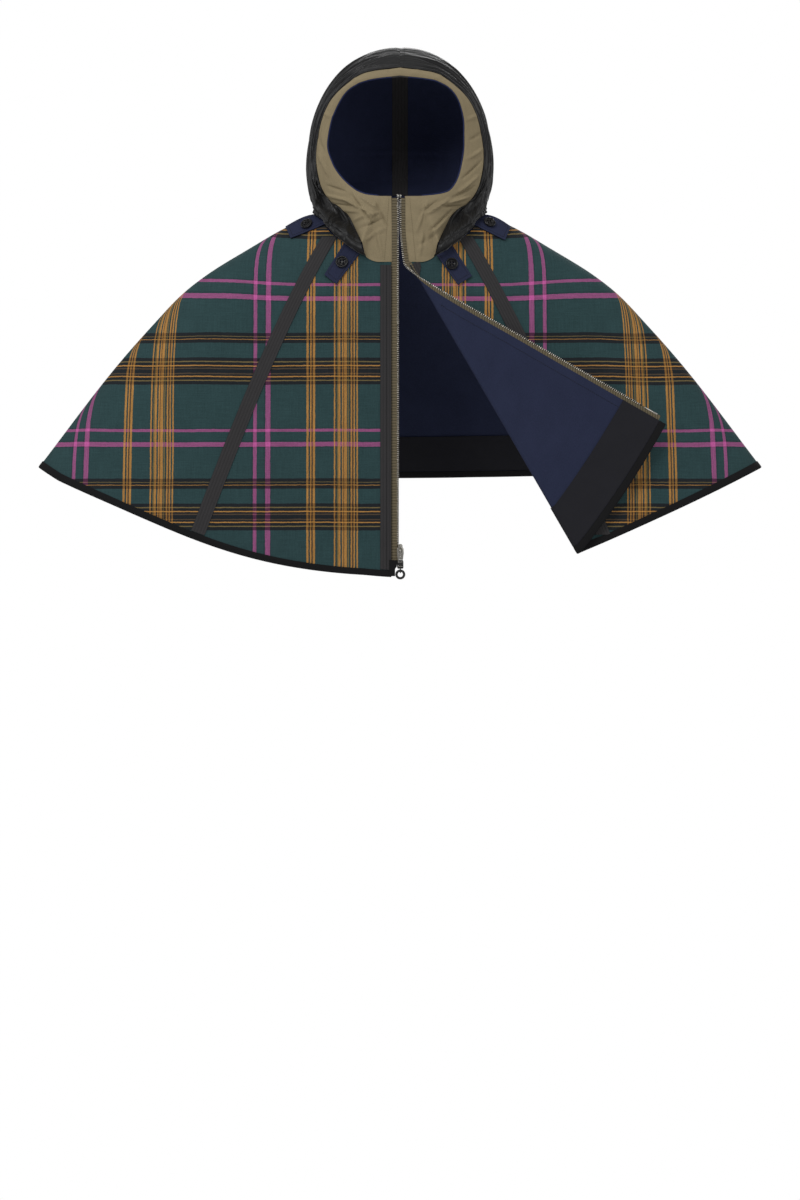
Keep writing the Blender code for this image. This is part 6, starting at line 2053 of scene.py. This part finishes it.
for side in (-1, 1):
    outer = SLIDER_X + side * half
    inner = outer - side * 1.1 * MM
    flange = [(outer, SLIDER_TOP - 3 * MM), (inner, SLIDER_TOP - 3 * MM), (inner, slider_foot + 5 * MM),
              (outer, slider_foot + 9 * MM)]
    plate_rows.append(("flange", flange, slider_front + 0.6 * MM, slider_back - 0.6 * MM, 0.3 * MM))
slider_plates = []
for row in plate_rows:
    plate = dict(zip(PLATE_COLUMNS, row))
    slider_plates.append(cast_plate(plate["name"], plate["outline"], "XZ", plate["near"], plate["far"],
                                    plate["bevel"], satin_nickel))
pull_axis_z = SLIDER_TOP - SLIDER_HEIGHT * 0.5
pull_axis_y = slider_front - BRIDGE_GAP / 2
bridge_top = slider_front - BRIDGE_GAP - BRIDGE_WALL
bridge_high = pull_axis_z + BRIDGE_HALF_LENGTH
bridge_low = pull_axis_z - BRIDGE_HALF_LENGTH
bridge_root = slider_front + 1 * MM
bridge_under = slider_front - BRIDGE_GAP
bridge_outline = [
    (bridge_root, bridge_high), (bridge_top + 1.2 * MM, bridge_high), (bridge_top, bridge_high - 1.6 * MM),
    (bridge_top, bridge_low + 1.6 * MM), (bridge_top + 1.2 * MM, bridge_low), (bridge_root, bridge_low),
    (bridge_root, bridge_low + BRIDGE_WALL), (bridge_under, bridge_low + BRIDGE_WALL),
    (bridge_under, bridge_high - BRIDGE_WALL), (bridge_root, bridge_high - BRIDGE_WALL)]
slider_plates.append(cast_plate("bridge", bridge_outline, "YZ", SLIDER_X - BRIDGE_HALF_WIDTH,
                                SLIDER_X + BRIDGE_HALF_WIDTH, 0.25 * MM, satin_nickel))
sew_on(join_pieces("slider", *slider_plates), "zip_metal", "zip_slider")

half = PULL_HALF_WIDTH
pull_foot = pull_axis_z - PULL_HALF_WALL
pull_head = pull_axis_z + PULL_LENGTH
pull_corner = 2 * MM
pull_outline = both_sides([
    (half - 0.6 * MM, pull_foot), (half, pull_foot + 0.8 * MM), (half, pull_head - pull_corner),
    (half - 0.7 * MM, pull_head - 0.7 * MM), (half - pull_corner, pull_head)])
pull = cast_plate("pull_tab", pull_outline, "XZ", pull_axis_y - PULL_HALF_WALL, pull_axis_y + PULL_HALF_WALL,
                  0.35 * MM, satin_nickel)
half = PULL_EYE_HALF_WIDTH
eye_foot = pull_axis_z + PULL_HALF_WALL
eye_head = pull_axis_z + PULL_EYE_LENGTH
eye_outline = both_sides([(half, eye_foot), (half, eye_head - 1 * MM), (half - 1 * MM, eye_head)])
cut(pull, cast_plate("eye", eye_outline, "XZ", pull_axis_y - 3 * MM, pull_axis_y + 3 * MM, 0, satin_nickel))
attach(pull, "zip_pull_tab")
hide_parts("zip_pull")

lower_top = slider_foot - SEAM_GAP
lower_foot = lower_top - LOWER_HEIGHT
half = LOWER_HALF_WIDTH
lower_outline = both_sides([
    (half - WAIST, lower_top), (half, lower_top - 2 * WAIST), (half, lower_foot + WAIST),
    (half - WAIST, lower_foot)])
lower_body = cast_plate("lower_body", lower_outline, "XZ", zip_face - LOWER_HALF_DEPTH,
                        zip_face + LOWER_HALF_DEPTH, 0.6 * MM, black_enamel)
ring_axis_z = lower_foot - EYELET_RADIUS + 1.0 * MM
eyelet = cast_plate("eyelet", circle(EYELET_RADIUS, (zip_face, ring_axis_z), 40), "YZ", SLIDER_X - 1 * MM,
                    SLIDER_X + 1 * MM, 0.3 * MM, black_enamel)
lower_slider = join_pieces("lower_slider", lower_body, eyelet)
hole_outline = circle(EYELET_HOLE, (zip_face, ring_axis_z), 32)
eyelet_hole = cast_plate("hole", hole_outline, "YZ", SLIDER_X - 3 * MM, SLIDER_X + 3 * MM, 0, black_enamel)
cut(lower_slider, eyelet_hole)
sew_on(lower_slider, "black_metal", "zip_lower_slider")
edge_y = zip_face - LOWER_HALF_DEPTH - 0.1 * MM
edge_places = np.array([(SLIDER_X, edge_y, lower_top - drop) for drop in LOWER_EDGE_DROPS])
stamp_facing_front("lower_slider_edges", LOWER_EDGE_SIZE, 0.2 * MM, edge_places)

# A small patch of the hem's black twill closes the zip's lower end beside the sliders
END_PATCH = np.array(((-553, -4.7), (-563, -4.7), (-567, -7.8), (-578.5, -7.8))) * MM
END_PATCH_LEFT = -17 * MM
END_PATCH_LIFT = 2.9 * MM
PATCH_ROWS = 24
PATCH_ACROSS = 10
patch_heights = np.linspace(END_PATCH[0, 0], END_PATCH[-1, 0], PATCH_ROWS)[:, None]
patch_right = np.interp(-patch_heights, -END_PATCH[:, 0], END_PATCH[:, 1])
patch_x = mix(END_PATCH_LEFT, patch_right, np.linspace(0, 1, PATCH_ACROSS))
patch_z = patch_heights + 0 * patch_x
patch_angles = angle_at(patch_x, patch_z)
sew_sheet("zip_end_patch", on_body(patch_angles, patch_z, END_PATCH_LIFT), body_normal(patch_angles, patch_z),
          BINDING_WALL, (binding_twill,), ("black_binding",))

ring_middle = (RING_RADIUS + RING_HOLE) / 2
ring_half = (RING_RADIUS - RING_HOLE) / 2
ring_turns = turns(RING_SEGMENTS)
wire_turns = turns(WIRE_SEGMENTS)
ring_reach = ring_middle + ring_half * np.cos(wire_turns)
ring_points = np.stack((
    SLIDER_X + np.outer(np.cos(ring_turns), ring_reach),
    zip_face + np.outer(np.ones(RING_SEGMENTS), RING_WALL / 2 * np.sin(wire_turns)),
    ring_axis_z - ring_middle + np.outer(np.sin(ring_turns), ring_reach)), axis=-1)
place = np.arange(RING_SEGMENTS * WIRE_SEGMENTS).reshape(RING_SEGMENTS, WIRE_SEGMENTS)
ring_faces = tube_faces(np.concatenate((place, place[:1])))
ring_pull = link_mesh("ring_pull", smooth_mesh("ring_pull", ring_points, ring_faces), black_enamel)
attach(ring_pull, "zip_ring_pull")
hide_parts("zip_ring")


# Closed meshes built from their own points are turned to face out.
for made in (neck_roll, right_cord, left_cord, face_edge, tape_end, ring_pull):
    shape = bmesh.new()
    shape.from_mesh(made.data)
    bmesh.ops.recalc_face_normals(shape, faces=shape.faces)
    shape.to_mesh(made.data)
    shape.free()
